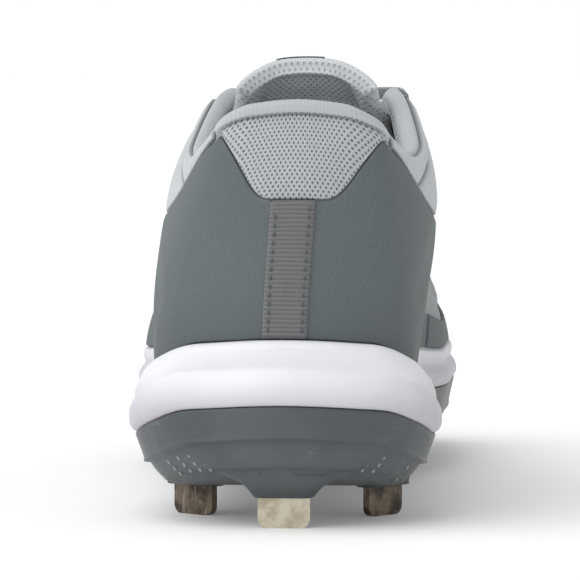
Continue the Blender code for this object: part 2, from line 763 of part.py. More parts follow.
def row_of(ring, share):
    """Grid row at which a ring position reaches a share of its rib's length."""
    found = []
    for at, wanted in zip(np.mod(ring, 2) * RING_POINTS / 2, share):
        first = int(at + 1e-9)
        part = at - first
        shares = SHARES[first % RING_POINTS] * (1 - part) + SHARES[(first + 1) % RING_POINTS] * part
        found.append(np.interp(wanted, shares, np.arange(ROWS)))
    return np.array(found)


def columns_between(start, end):
    """Ring positions from start to end, with each one of the upper's own columns between them."""
    step = 2 / RING_POINTS
    whole = np.arange(math.ceil(start / step), math.floor(end / step) + 1) * step
    inside = [r for r in whole if start + 0.15 * step < r < end - 0.15 * step]
    return np.array([start, *inside, end])


def nearest_column(along):
    """Ring position of the upper's own column nearest to a share of the length."""
    return round(float(station_of(along)) * RING_POINTS / 2) * 2 / RING_POINTS


def panel(name, ring, low, high, rise, material_name, puff=0.0, base=GAP):
    """An overlay between two offsets of the upper's face, from one edge row to another."""
    snap = 0.12
    between = np.arange(math.floor(low.min()) + 1, math.ceil(high.max()))
    rows = np.stack([low] + [np.full(len(ring), float(n)) for n in between] + [high])
    rows = np.where(rows < low + snap, low, np.where(rows > high - snap, high, rows))
    columns = np.broadcast_to(ring, rows.shape)
    inner = on_facets(columns, rows, np.full(rows.shape, base))
    inside = (rows > low) & (rows < high)
    inside[:, [0, -1]] = False
    outer = on_facets(columns, rows, base + rise + puff * inside)
    faces = grid_faces(*rows.shape)
    return shell(name, outer.reshape(-1, 3), inner.reshape(-1, 3), faces, material_name)


def edge_rows(ring, table):
    """Grid rows of an edge table along ring positions."""
    station, _ = fold(ring)
    return row_of(ring, smooth(column(table, 0), column(table, 1))(station))


def heel_middle(rows):
    """Sideways place of the middle of the heel, at grid rows."""
    return on_facets(np.zeros(rows.shape), rows, np.zeros(rows.shape))[..., 0]


def pad_low_row(ring):
    """Lower edge of the heel pad, which is also where the quarter stops below it."""
    rows = np.linspace(RIM_ROW + 1, ROWS - 1, 91)
    found = []
    for at in ring:
        points = on_facets(np.full(91, at), rows, np.zeros(91))
        from_middle = points[:, 0] - heel_middle(rows) - HEEL_PAD_SHIFT
        share = np.abs(from_middle) / (HEEL_PAD_WIDTH / 2)
        rise = np.interp(share, column(PAD_EDGE, 0), column(PAD_EDGE, 1))
        edge = HEEL_PAD_BASE + (points[-1, 2] - HEEL_PAD_BASE) * rise
        found.append(np.interp(0, points[:, 2] - edge, rows))
    return np.array(found)


def pad_end(side):
    """Ring position of the pad's upper corner on a side."""
    ring = side * np.linspace(0, 0.3, 301)
    rows = np.full(301, ROWS - 1.2)
    x = on_facets(ring, rows, np.zeros(301))[:, 0] - heel_middle(rows) - HEEL_PAD_SHIFT
    return float(np.interp(HEEL_PAD_WIDTH / 2 - 0.0004, side * x, ring))


def make_heel_pad():
    ring = columns_between(pad_end(-1), pad_end(1))
    high = row_of(ring, np.full(ring.shape, 0.988))
    low = np.minimum(pad_low_row(ring), high - 0.25)
    return panel("heel_pad", ring, low, high, OVERLAY, "padded_mesh", HEEL_PAD_PUFF)


def make_quarter():
    """The dark rear quarter, which wraps the heel under the pad and runs forward as a low band."""
    end = float(station_of(QUARTER_EDGE[-1][0]))
    ring = columns_between(-end, end)
    high = np.minimum(edge_rows(ring, QUARTER_EDGE), pad_low_row(ring) - 0.06)
    return panel("quarter", ring, np.full(ring.shape, RIM_ROW + 0.08), high, OVERLAY, "dark_synthetic")


def make_webbing():
    """The heel strip, sewn over the quarter from the foam up to the pad."""
    top = pad_low_row(np.zeros(1))[0] - 0.06
    rows = np.array([RIM_ROW + 0.08, *range(RIM_ROW + 1, math.ceil(top)), top])[:, None]
    step = 2 / RING_POINTS
    x = on_facets(np.full(rows.shape, step), rows, np.zeros(rows.shape))[..., 0] - heel_middle(rows)
    ring = WEBBING_WIDTH / 2 / x * step * [-1, 0, 1]
    rows = np.broadcast_to(rows, ring.shape)
    inner = on_facets(ring, rows, np.full(rows.shape, 2 * GAP + OVERLAY))
    outer = on_facets(ring, rows, np.full(rows.shape, 2 * GAP + OVERLAY + WEBBING_THICKNESS))
    faces = grid_faces(*rows.shape)
    return shell("heel_webbing", outer.reshape(-1, 3), inner.reshape(-1, 3), faces, "webbing")


def make_toe_guard():
    start = float(station_of(GUARD_EDGE[0][0])) + 0.003
    ring = columns_between(start, 2 - start)
    low = np.full(ring.shape, RIM_ROW + 0.08)
    return panel("toe_guard", ring, low, edge_rows(ring, GUARD_EDGE), OVERLAY, "dark_synthetic")


def make_collar_panel(name, side):
    """The ribbed, padded side of the collar, from the heel pad to the eyestay."""
    start = abs(pad_end(side)) + 0.004
    end = nearest_column(EYESTAY_EDGE[0][0]) - 0.004
    ring = columns_between(start, end)
    if side < 0:
        ring = 2 - ring[::-1]
    high = row_of(ring, np.full(ring.shape, 0.985))
    return panel(name, ring, edge_rows(ring, COLLAR_EDGE), high, OVERLAY, "light_textile", COLLAR_PUFF)


def make_eyestay():
    """The lace band round the throat, with its eyelets cut through it and the upper."""
    start = nearest_column(EYESTAY_EDGE[0][0])
    ring = columns_between(start, 2 - start)
    high = row_of(ring, np.full(ring.shape, 0.975))
    eyestay = panel("eyestay", ring, edge_rows(ring, EYESTAY_EDGE), high, OVERLAY, "dark_synthetic")
    boolean(eyestay, EYELET_TOOL, "DIFFERENCE")
    return eyestay


def over_face(along, side, offset, below_edge):
    """Place and outward direction over the upper's face, a distance below the throat's edge."""
    station = float(station_of(along))
    ring = np.array([station if side > 0 else 2 - station])
    rib = surface(ring, np.linspace(0, 1, 17)[None])[0]
    length = np.linalg.norm(np.diff(rib, axis=0), axis=-1).sum()
    row = row_of(ring, np.array([1 - below_edge / length]))
    place = on_facets(ring, row, np.array([offset]))[0]
    outward = on_facets(ring, row, np.array([offset + 0.001]))[0] - place
    return place, outward / np.linalg.norm(outward)


def make_eyelet_tool():
    """Six-sided drills through eyestay and upper at each eyelet."""
    shapes = []
    for along in EYELETS:
        for side in (1, -1):
            place, outward = over_face(along, side, 0, EYELET_EDGE)
            across = np.cross(outward, [0, 1, 0])
            across /= np.linalg.norm(across)
            along_edge = np.cross(outward, across)
            angles = np.radians(np.arange(6) * 60 + 30)[:, None]
            circle = EYELET_RADIUS * (np.cos(angles) * across + np.sin(angles) * along_edge)
            loops = [place + circle + outward * reach for reach in (-2.5 * COLLAR_PADDING / 2, 0.004)]
            shapes.append(prism(loops))
    return joined("eyelet_tool", shapes)


TONGUE_SHARES = (0.80, 0.88, 0.955)


def tongue_sections():
    """Rows of seven points across the tongue, from the toe end to the collar, and its depth there."""
    first = round(nearest_column(EYESTAY_EDGE[0][0]) * RING_POINTS / 2)
    rows = []
    for i in range(RING_POINTS // 2 - 1, first - 1, -1):
        ring = np.array([RING[i], 2 - RING[i]])
        shares = np.broadcast_to(TONGUE_SHARES, (2, 3))
        sides = offset_surface(ring, shares, -(wall(ring, shares) + 2 * GAP))
        middle = (sides[0, 2] + sides[1, 2]) / 2
        span = np.linalg.norm(sides[0, 2] - sides[1, 2])
        middle[2] += TONGUE_CROWN * np.clip((span - CROWN_SPAN) / 0.010, -0.5, 1)
        rows.append(np.array([*sides[0], middle, *sides[1][::-1]]))
    return rows


def make_tongue():
    """A padded sheet under the throat's edges, with a free end that stands up out of the collar."""
    rows = tongue_sections()
    toe = np.array([1.0])
    shares = np.array([TONGUE_SHARES])
    front = offset_surface(toe, shares, -(wall(toe, shares) + 3 * GAP))[0]
    rows.insert(0, np.array([*front, front[2], *front[::-1]]))
    last = rows[-1]
    middle = last[3]
    across = np.array([1.0, 0.80, 0.45, 0, -0.45, -0.80, -1.0])
    tip_x = middle[0] + across * TONGUE_TOP_WIDTH / 2
    tip_y = middle[1] - TONGUE_LEAN * (1 + 0.2 * across**2)
    tip_z = BED_AT_HEEL + TONGUE_TOP_HEIGHT - TONGUE_ARCH * across**2
    thick = [np.full(7, TONGUE_THICKNESS) for _ in rows]
    for inward, back, up, swell in TONGUE_TIP:
        x = last[:, 0] + (tip_x - last[:, 0]) * inward
        y = last[:, 1] + (tip_y - last[:, 1]) * back
        z = last[:, 2] + (tip_z - last[:, 2]) * up
        rows.append(np.stack([x, y, z], -1))
        thick.append(np.full(7, TONGUE_THICKNESS * swell))
    grid = np.array(rows)
    thick = np.array(thick)[..., None]
    along = np.gradient(grid, axis=0)
    wide = np.gradient(grid, axis=1)
    normal = np.cross(along, wide)
    normal[0] = [0, 0, 1]
    normal /= np.linalg.norm(normal, axis=-1, keepdims=True)
    outside = grid - grid.mean(axis=1, keepdims=True) + [0, 0, TONGUE_TOP_WIDTH / 2]
    normal *= np.sign((normal * outside).sum(axis=-1, keepdims=True))
    inner = grid - normal * thick
    faces = grid_faces(grid.shape[0], 7)
    return shell("tongue", grid.reshape(-1, 3), inner.reshape(-1, 3), faces, "padded_mesh")


def ribbon(name, path, normals):
    """A flat strap along a path of points, with the outward direction at each point."""
    along = np.gradient(path, axis=0)
    side = np.cross(along, normals)
    side /= np.linalg.norm(side, axis=-1, keepdims=True)
    wide = side * LACE_WIDTH / 2
    deep = normals * LACE_THICKNESS / 2
    loops = [path + wide + deep, path - wide + deep, path - wide - deep, path + wide - deep]
    points, faces = prism(list(np.stack(loops, 1)))
    return solid(name, points, faces, "lace", shade=False)


def lace_path(stops, extra):
    """A path over the throat through eyelet stops, which clears the throat's edges and the tongue."""
    lift = 3 * GAP + OVERLAY + LACE_THICKNESS / 2 + extra
    path, normals = [], []
    for (n, side), (m, other) in zip(stops, stops[1:]):
        start, end = EYELETS[n], EYELETS[m]
        near = over_face(start + 0.22 * (end - start), side, lift + LACE_RISE, LIP)
        far = over_face(end + 0.22 * (start - end), other, lift + LACE_RISE, LIP)
        up = near[1] + far[1]
        up /= np.linalg.norm(up)
        crest = (near[0] + far[0]) / 2 + up * LACE_RISE
        for place, outward in (over_face(start, side, lift, EYELET_EDGE), near, (crest, up), far):
            path.append(place)
            normals.append(outward)
    n, side = stops[-1]
    place, outward = over_face(EYELETS[n], side, lift, EYELET_EDGE)
    return np.array([*path, place]), np.array([*normals, outward])


def make_laces():
    """Crossings and a lower bar, joined, with both ends stopping at the top eyelets."""
    last = len(EYELETS) - 1
    one = [(n, 1 if (last - n) % 2 == 0 else -1) for n in range(last, -1, -1)]
    other = [(n, -side) for n, side in one]
    laces = ribbon("laces", *lace_path(one, 0.0))
    boolean(laces, tool(ribbon("lace_tool", *lace_path(other, 0.0002))), "UNION")
    boolean(laces, tool(ribbon("lace_bar_tool", *lace_path([(last, 1), (last, -1)], 0.0001))), "UNION")
    return laces


def make_insole():
    """The sockliner: a contoured sheet inside the upper."""
    bed = bed_height(STATION) + GAP
    base = level(RING, FLARED + UPPER_WALL + 4 * GAP, bed)
    top = base.copy()
    top[:, 2] = bed + INSOLE_THICKNESS + 0.0015
    loops = [crowned(base, 0.5, bed_height, GAP), base, top]
    loops.append(crowned(top, 0.16, bed_height, GAP + INSOLE_THICKNESS))
    loops.append(crowned(top, 0.5, bed_height, GAP + INSOLE_THICKNESS - 0.0005))
    return loft("insole", loops, "insole_foam")


def recentre():
    """Moves every piece so that the origin is under the middle of the footprint's box."""
    flat, _ = outline(RING, np.zeros(RING_POINTS))
    middle = (flat.min(axis=0) + flat.max(axis=0)) / 2
    for piece in bpy.data.objects:
        for vertex in piece.data.vertices:
            vertex.co.x -= middle[0]
            vertex.co.y -= middle[1]


def main():
    make_outsole()
    make_midsole()
    make_upper()
    make_insole()
    make_tongue()
    make_heel_pad()
    make_quarter()
    make_webbing()
    make_toe_guard()
    make_collar_panel("collar_panel_medial", 1)
    make_collar_panel("collar_panel_lateral", -1)
    make_eyestay()
    make_laces()
    for row in SPIKES:
        make_spike(*row)
    recentre()


for old in list(bpy.data.objects):
    bpy.data.objects.remove(old)
EYELET_TOOL = make_eyelet_tool()
main()
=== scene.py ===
"""Looks of the baseball cleat: every soft piece, the sole, the materials, the light and the camera.

Metres, +Z up. The heel faces -Y, the toe +Y, and +X is the inner (medial) side of the foot.
The tables and the shape functions are those of the part's source, which laid the shoe out with its
heel end at y = 0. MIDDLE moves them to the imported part's origin.
"""

import math

import bmesh
import bpy
import numpy as np
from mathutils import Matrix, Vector


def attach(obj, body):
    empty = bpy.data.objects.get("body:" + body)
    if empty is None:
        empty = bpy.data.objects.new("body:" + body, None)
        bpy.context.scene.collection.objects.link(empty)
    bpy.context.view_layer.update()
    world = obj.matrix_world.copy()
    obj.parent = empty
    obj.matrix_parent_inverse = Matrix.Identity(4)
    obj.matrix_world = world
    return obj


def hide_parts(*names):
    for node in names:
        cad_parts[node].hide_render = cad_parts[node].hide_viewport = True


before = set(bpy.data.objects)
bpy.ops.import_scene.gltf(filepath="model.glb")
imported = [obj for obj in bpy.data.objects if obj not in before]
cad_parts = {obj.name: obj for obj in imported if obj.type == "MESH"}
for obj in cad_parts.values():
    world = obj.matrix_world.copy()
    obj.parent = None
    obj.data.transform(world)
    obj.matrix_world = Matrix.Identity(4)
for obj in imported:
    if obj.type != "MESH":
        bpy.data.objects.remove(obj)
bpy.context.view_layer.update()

# Sole sizes
LENGTH = 0.302
BALL_WIDTH = 0.104
HEEL_WIDTH = 0.087
SPIKE_HEIGHT = 0.0085
BOSS_HEIGHT = 0.0015
PLATE_WALL = 0.015
PLATE_THICKNESS = 0.004
PLATE_LIP = 0.0035
BULGE_WIDTH = 0.026
FOAM_WALL = 0.017
SOLE_FLARE = 0.0085
HEEL_STACK = 0.026
FORE_STACK = 0.016
ARCH_RISE = 0.005
TOE_SPRING = 0.010

# Upper sizes
COLLAR_HEIGHT = 0.081
INSTEP_HEIGHT = 0.085
COLLAR_WIDTH = 0.065
THROAT_WIDTH = 0.035
UPPER_LEAN = 0.0030
UPPER_WALL = 0.0022
COLLAR_PADDING = 0.0070
OVERLAY = 0.0009
HEEL_PAD_PUFF = 0.0022
HEEL_PAD_BASE = 0.0910
HEEL_PAD_WIDTH = 0.0475
HEEL_PAD_SHIFT = 0.0010
WEBBING_WIDTH = 0.0124
WEBBING_THICKNESS = 0.0010
COLLAR_PUFF = 0.0010
EYELET_RADIUS = 0.0020
EYELET_EDGE = 0.0075
INSOLE_THICKNESS = 0.0045
TONGUE_THICKNESS = 0.0035
TONGUE_CROWN = 0.0020
CROWN_SPAN = 0.024
TONGUE_TOP_WIDTH = 0.042
TONGUE_TOP_HEIGHT = 0.0975
TONGUE_LEAN = 0.016
LACE_WIDTH = 0.0058
LACE_THICKNESS = 0.0011
LACE_RISE = 0.0008
LACE_WIDTHS = (0.0034, 0.0042, 0.0056, LACE_WIDTH, LACE_WIDTH, LACE_WIDTH, 0.0056, 0.0042, 0.0034)

# Spike sizes
BLADE_WIDTH = 0.0145
BLADE_THICKNESS = 0.0022
BLADE_ROOT = 0.0030

GAP = 0.0003
RING_POINTS = 52
JOINED = 2e-6
STAND = SPIKE_HEIGHT + BOSS_HEIGHT
BED_AT_HEEL = STAND + HEEL_STACK

# Sole outline: share of LENGTH from the heel, the width that the row follows, its half width as a
# share of half that width, and the centre line's offset as a share of BALL_WIDTH (+ is medial)
OUTLINE = (
    (0.000, HEEL_WIDTH, 0.000, 0.000),
    (0.010, HEEL_WIDTH, 0.430, 0.000),
    (0.030, HEEL_WIDTH, 0.700, -0.003),
    (0.060, HEEL_WIDTH, 0.880, -0.008),
    (0.100, HEEL_WIDTH, 0.978, -0.014),
    (0.140, HEEL_WIDTH, 1.000, -0.018),
    (0.220, HEEL_WIDTH, 0.960, -0.028),
    (0.370, BALL_WIDTH, 0.745, -0.052),
    (0.500, BALL_WIDTH, 0.830, -0.070),
    (0.650, BALL_WIDTH, 1.000, -0.077),
    (0.760, BALL_WIDTH, 0.985, -0.062),
    (0.850, BALL_WIDTH, 0.890, -0.035),
    (0.910, BALL_WIDTH, 0.770, -0.008),
    (0.955, BALL_WIDTH, 0.590, 0.014),
    (0.985, BALL_WIDTH, 0.360, 0.027),
    (1.000, BALL_WIDTH, 0.000, 0.032),
)

# Sole heights: share of LENGTH, arch rise, toe spring, ledge as a share of the plate's wall,
# plate wall, foam wall, how much of the heel-to-forefoot drop is still there, and the flare
LEVELS = (
    (0.000, 0.45, 0.00, 0.60, 1.37, 1.12, 1.00, 1.00),
    (0.023, 0.20, 0.00, 0.58, 1.38, 1.11, 1.00, 1.00),
    (0.060, 0.05, 0.00, 0.52, 1.25, 1.08, 1.00, 1.00),
    (0.110, 0.00, 0.00, 0.45, 1.05, 0.98, 1.00, 1.00),
    (0.170, 0.05, 0.00, 0.42, 0.97, 0.95, 1.00, 1.00),
    (0.260, 0.50, 0.00, 0.42, 0.88, 0.98, 0.97, 0.98),
    (0.370, 1.00, 0.00, 0.42, 0.82, 0.95, 0.80, 0.92),
    (0.500, 0.80, 0.00, 0.42, 0.90, 0.82, 0.42, 0.84),
    (0.620, 0.15, 0.00, 0.42, 1.08, 0.70, 0.12, 0.76),
    (0.750, 0.00, 0.00, 0.44, 1.15, 0.65, 0.00, 0.70),
    (0.860, 0.00, 0.15, 0.46, 1.10, 0.66, 0.00, 0.68),
    (0.940, 0.00, 0.50, 0.48, 0.98, 0.70, 0.00, 0.68),
    (1.000, 0.00, 1.00, 0.50, 0.85, 0.74, 0.00, 0.70),
)

# Upper ribs, from the footbed to the edge of collar and throat: the base's share of LENGTH, the
# top edge's share of LENGTH, the width that the edge follows and its half width as a share of half
# that width, the height that the edge follows and its share, and four handles as shares of the rib
RIBS = (
    (0.0000, 0.046, COLLAR_WIDTH, 0.00, COLLAR_HEIGHT, 1.000, 0.37, 0.050, -0.020, 0.33),
    (0.0245, 0.050, COLLAR_WIDTH, 0.40, COLLAR_HEIGHT, 0.985, 0.37, 0.050, -0.010, 0.31),
    (0.0545, 0.063, COLLAR_WIDTH, 0.65, COLLAR_HEIGHT, 0.940, 0.38, 0.055, 0.020, 0.29),
    (0.0955, 0.100, COLLAR_WIDTH, 0.82, COLLAR_HEIGHT, 0.872, 0.40, 0.060, 0.060, 0.28),
    (0.1460, 0.146, COLLAR_WIDTH, 0.93, COLLAR_HEIGHT, 0.828, 0.42, 0.070, 0.100, 0.26),
    (0.2060, 0.200, COLLAR_WIDTH, 0.98, COLLAR_HEIGHT, 0.860, 0.41, 0.085, 0.130, 0.25),
    (0.2730, 0.258, COLLAR_WIDTH, 0.90, COLLAR_HEIGHT, 0.970, 0.40, 0.100, 0.160, 0.26),
    (0.3100, 0.291, COLLAR_WIDTH, 0.82, INSTEP_HEIGHT, 0.984, 0.38, 0.105, 0.175, 0.26),
    (0.3450, 0.324, COLLAR_WIDTH, 0.75, INSTEP_HEIGHT, 1.000, 0.37, 0.110, 0.190, 0.25),
    (0.3830, 0.358, COLLAR_WIDTH, 0.67, INSTEP_HEIGHT, 0.972, 0.36, 0.108, 0.210, 0.23),
    (0.4220, 0.392, THROAT_WIDTH, 1.12, INSTEP_HEIGHT, 0.910, 0.36, 0.105, 0.230, 0.20),
    (0.5000, 0.457, THROAT_WIDTH, 0.98, INSTEP_HEIGHT, 0.785, 0.36, 0.100, 0.260, 0.17),
    (0.5780, 0.520, THROAT_WIDTH, 0.84, INSTEP_HEIGHT, 0.668, 0.36, 0.095, 0.280, 0.15),
    (0.6550, 0.576, THROAT_WIDTH, 0.72, INSTEP_HEIGHT, 0.570, 0.36, 0.090, 0.310, 0.13),
    (0.7270, 0.619, THROAT_WIDTH, 0.62, INSTEP_HEIGHT, 0.500, 0.36, 0.080, 0.340, 0.11),
    (0.7940, 0.643, THROAT_WIDTH, 0.49, INSTEP_HEIGHT, 0.465, 0.36, 0.070, 0.370, 0.09),
    (0.8540, 0.653, THROAT_WIDTH, 0.37, INSTEP_HEIGHT, 0.448, 0.36, 0.060, 0.400, 0.08),
    (0.9050, 0.658, THROAT_WIDTH, 0.28, INSTEP_HEIGHT, 0.440, 0.36, 0.055, 0.420, 0.07),
    (0.9755, 0.661, THROAT_WIDTH, 0.14, INSTEP_HEIGHT, 0.433, 0.36, 0.050, 0.440, 0.06),
    (1.0000, 0.662, THROAT_WIDTH, 0.00, INSTEP_HEIGHT, 0.432, 0.36, 0.050, 0.445, 0.06),
)

# Lean of the upper towards the inner side: base's share of LENGTH, and how much of UPPER_LEAN its
# top edge has there
LEANING = (
    (0.00, 1.00),
    (0.40, 1.00),
    (0.60, 0.50),
    (0.75, 0.10),
    (1.00, 0.00),
)

# How far the foam's lower edge bows up at the back of the heel: base's share of LENGTH, metres
HEEL_BOW = (
    (0.000, 0.0019),
    (0.020, 0.0015),
    (0.060, 0.0000),
    (0.110, -0.0008),
    (0.200, -0.0004),
    (0.330, 0.0000),
    (1.000, 0.0000),
)

# Wall of the upper: base's share of LENGTH, and how much of the collar's padding it has at the edge
PADDING = (
    (0.00, 0.95),
    (0.10, 1.00),
    (0.25, 1.00),
    (0.33, 0.70),
    (0.42, 0.10),
    (0.55, 0.00),
    (1.00, 0.00),
)

# Side of the foam: share of the foam wall's height from below, inset as a share of SOLE_FLARE
FOAM_SIDE = (
    (0.00, 0.10),
    (0.08, 0.02),
    (0.22, 0.00),
    (0.38, 0.09),
    (0.50, 0.25),
    (0.58, 0.33),
    (0.66, 0.29),
    (0.80, 0.25),
    (0.93, 0.31),
    (1.00, 0.47),
)

# Side of the plate below its ledge: share of the ledge's height, inset as a share of the flare, the
# inset over the heel's bulge, and the bulge's half width as a share of BULGE_WIDTH
PLATE_SIDE = (
    (1.00, 0.60, 0.60, 1.00),
    (0.55, 0.85, 0.64, 0.86),
    (0.18, 1.12, 0.78, 0.66),
    (0.00, 1.45, 1.10, 0.50),
)

# Upper edge of the dark rear quarter: base's share of LENGTH, share of the rib's length
QUARTER_EDGE = (
    (0.000, 0.94),
    (0.050, 0.94),
    (0.085, 0.92),
    (0.120, 0.85),
    (0.165, 0.75),
    (0.220, 0.65),
    (0.290, 0.54),
    (0.370, 0.43),
    (0.450, 0.34),
    (0.540, 0.29),
)

# Upper edge of the toe guard, in the same way
GUARD_EDGE = (
    (0.545, 0.290),
    (0.640, 0.275),
    (0.740, 0.270),
    (0.840, 0.290),
    (0.920, 0.330),
    (1.000, 0.370),
)

# Lower edge of the eyestay, in the same way
EYESTAY_EDGE = (
    (0.330, 0.810),
    (0.380, 0.795),
    (0.450, 0.785),
    (0.600, 0.780),
    (0.720, 0.790),
    (0.820, 0.820),
    (0.920, 0.850),
    (1.000, 0.860),
)

# Lower edge of the ribbed collar panel, in the same way
COLLAR_EDGE = (
    (0.050, 0.955),
    (0.085, 0.935),
    (0.120, 0.865),
    (0.165, 0.765),
    (0.205, 0.700),
    (0.240, 0.690),
    (0.280, 0.705),
    (0.320, 0.740),
)

# The channel sewn below the collar's padded edge: base's share of LENGTH, share of the rib's length
COLLAR_SEAM = (
    (0.060, 0.790),
    (0.105, 0.825),
    (0.130, 0.858),
    (0.160, 0.886),
    (0.200, 0.908),
    (0.250, 0.905),
    (0.320, 0.915),
)

# Lower edge of the heel pad: distance from the middle as a share of half its width, and how far
# the edge has risen from the pad's base to the collar's edge
PAD_EDGE = (
    (0.00, 0.00),
    (0.40, 0.00),
    (0.50, 0.06),
    (0.62, 0.24),
    (0.78, 0.52),
    (0.92, 0.80),
    (1.00, 1.00),
)

# Eyelet pairs: the share of LENGTH of the rib that each one is on
EYELETS = (0.378, 0.431, 0.489, 0.548, 0.611, 0.682)

# Free end of the tongue: shares of the way to its tip across, back and up, and the thickness as a
# share of TONGUE_THICKNESS
TONGUE_TIP = (
    (0.50, 0.26, 0.32, 1.05),
    (0.80, 0.58, 0.66, 1.15),
    (0.96, 0.88, 0.93, 1.05),
    (1.00, 1.00, 1.00, 0.70),
)

# Spikes: name, share of LENGTH, distance from the sole's centre line as a share of the half width
# there (+ is medial), and turn about Z in degrees, where 0 is a blade that faces the heel
SPIKES = (
    ("spike_heel_rear", 0.052, 0.00, 0),
    ("spike_heel_medial", 0.170, 0.64, 52),
    ("spike_heel_lateral", 0.170, -0.60, -38),
    ("spike_ball_medial", 0.585, 0.66, 68),
    ("spike_ball_lateral", 0.560, -0.68, -64),
    ("spike_mid_medial", 0.715, 0.66, 82),
    ("spike_mid_lateral", 0.700, -0.68, -78),
    ("spike_toe_medial", 0.870, 0.52, 142),
    ("spike_toe_lateral", 0.850, -0.58, -142),
)


def unit(vectors):
    """The vectors at length 1."""
    return vectors / np.linalg.norm(vectors, axis=-1, keepdims=True)


def steps_along(points):
    """Lengths of the steps from each point of a line to the next."""
    return np.linalg.norm(np.diff(points, axis=0), axis=-1)


def distance_along(points):
    """Distance of each point of a line from its first, measured along it."""
    return np.concatenate([[0], np.cumsum(steps_along(points))])


def ease(x):
    """A soft step from 0 to 1."""
    x = np.clip(x, 0, 1)
    return x * x * (3 - 2 * x)


def bump(x):
    """A soft hump of height 1 at 0, which ends at -1 and 1."""
    return ease(1 - np.abs(x))


def station_of(along):
    """Position round half the ring, 0 at the heel and 1 at the toe, of a share of the length."""
    return np.arccos(1 - 2 * np.clip(along, 0, 1)) / math.pi


def along_of(station):
    """Share of the length at a station."""
    return (1 - np.cos(math.pi * station)) / 2


def cubic(at, value, slope, i, x):
    """The cubic between knots i and i + 1, at x."""
    width = at[i + 1] - at[i]
    t = (x - at[i]) / width
    return (
        value[i] * (1 + 2 * t) * (1 - t) ** 2
        + value[i + 1] * t * t * (3 - 2 * t)
        + width * slope[i] * t * (1 - t) ** 2
        - width * slope[i + 1] * t * t * (1 - t)
    )


def smooth(places, values, flat_ends=True):
    """A monotone cubic through the values, over places given as shares of the length."""
    at = station_of(np.array(places, float))
    value = np.array(values, float)
    slope = np.diff(value) / np.diff(at)
    tangent = np.zeros_like(value)
    same_way = slope[:-1] * slope[1:] > 0
    both = np.where(same_way, slope[:-1] + slope[1:], 1)
    tangent[1:-1] = np.where(same_way, 2 * slope[:-1] * slope[1:] / both, 0)
    if not flat_ends:
        tangent[0], tangent[-1] = slope[0], slope[-1]

    def evaluate(station):
        station = np.clip(station, at[0], at[-1])
        i = np.clip(np.searchsorted(at, station) - 1, 0, len(at) - 2)
        return cubic(at, value, tangent, i, station)

    return evaluate


def column(table, number):
    return [row[number] for row in table]


def along_table(table, number=1):
    """A smooth curve along the shoe through a column of a table."""
    return smooth(column(table, 0), column(table, number))


HALF_WIDTH = smooth(column(OUTLINE, 0), [row[1] / 2 * row[2] for row in OUTLINE], flat_ends=False)
CENTRE = smooth(column(OUTLINE, 0), [BALL_WIDTH * row[3] for row in OUTLINE])
ARCH, SPRING, LEDGE, PLATE, FOAM, DROP, FLARE = (along_table(LEVELS, n) for n in range(1, 8))
TOP_ALONG = smooth(column(RIBS, 0), [LENGTH * row[1] for row in RIBS])
TOP_HALF = smooth(column(RIBS, 0), [row[2] / 2 * row[3] for row in RIBS], flat_ends=False)
TOP_HEIGHT = smooth(column(RIBS, 0), [row[4] * row[5] for row in RIBS])
BASE_UP, BASE_OUT, TOP_OUT, TOP_DOWN = (along_table(RIBS, n) for n in range(6, 10))
PADDED = along_table(PADDING)
LEAN = along_table(LEANING)
heel_bow = along_table(HEEL_BOW)


def fold(ring):
    """Station and side of a ring position, which runs 0 to 1 up the medial side and 1 to 2 back."""
    ring = np.mod(ring, 2)
    return 1 - np.abs(1 - ring), np.where(ring < 1, 1.0, -1.0)


def under_height(station):
    """Height of the plate's underside."""
    return STAND + ARCH_RISE * ARCH(station) + TOE_SPRING * SPRING(station)


def foam_low(station):
    """Height of the line where the plate's side meets the foam's."""
    return under_height(station) + PLATE_WALL * PLATE(station)


def foam_rim(station):
    """Height of the foam's upper edge."""
    return foam_low(station) + FOAM_WALL * FOAM(station) + 0.5 * heel_bow(station)


def bed_height(station):
    """Height of the foam's footbed."""
    drop = (HEEL_STACK - FORE_STACK) * DROP(station)
    return STAND + FORE_STACK + drop + 0.6 * TOE_SPRING * SPRING(station)


def flare(station):
    """How far the sole's widest line stands out from the upper's base."""
    return SOLE_FLARE * FLARE(station)


def outline(ring, inset):
    """Plan points and outward normals of the sole's widest outline, moved inwards by inset."""
    ring = np.asarray(ring, float)

    def plan(at):
        station, side = fold(at)
        y = LENGTH * along_of(station)
        return np.stack([CENTRE(station) + side * HALF_WIDTH(station), y], -1)

    step = 2e-3
    along = plan(ring + step) - plan(ring - step)
    normal = unit(np.stack([along[..., 1], -along[..., 0]], -1))
    return plan(ring) - normal * np.asarray(inset)[..., None], normal


def level(ring, inset, height):
    """A loop at an inset from the sole's outline, at a height."""
    flat, _ = outline(ring, np.broadcast_to(inset, np.shape(ring)))
    return np.concatenate([flat, np.broadcast_to(height, np.shape(ring))[..., None]], -1)


def ribs(ring):
    """The four control points of each rib of the upper."""
    station, side = fold(ring)
    base, normal = outline(ring, flare(station))
    base_z = bed_height(station) + GAP
    top_x = side * TOP_HALF(station) + UPPER_LEAN * LEAN(station)
    top = np.stack([top_x, TOP_ALONG(station)], -1)
    top_z = BED_AT_HEEL + TOP_HEIGHT(station)
    out = unit(base - top + 0.01 * normal)
    start = np.concatenate([base, base_z[..., None]], -1)
    end = np.concatenate([top, top_z[..., None]], -1)
    chord = np.linalg.norm(end - start, axis=-1)

    def handle(sideways, upwards):
        flat = out * (sideways * chord)[..., None]
        return np.concatenate([flat, (upwards * chord)[..., None]], -1)

    first = start + handle(BASE_OUT(station), BASE_UP(station))
    second = end + handle(TOP_OUT(station), -TOP_DOWN(station))
    return np.stack([start, first, second, end], -2)


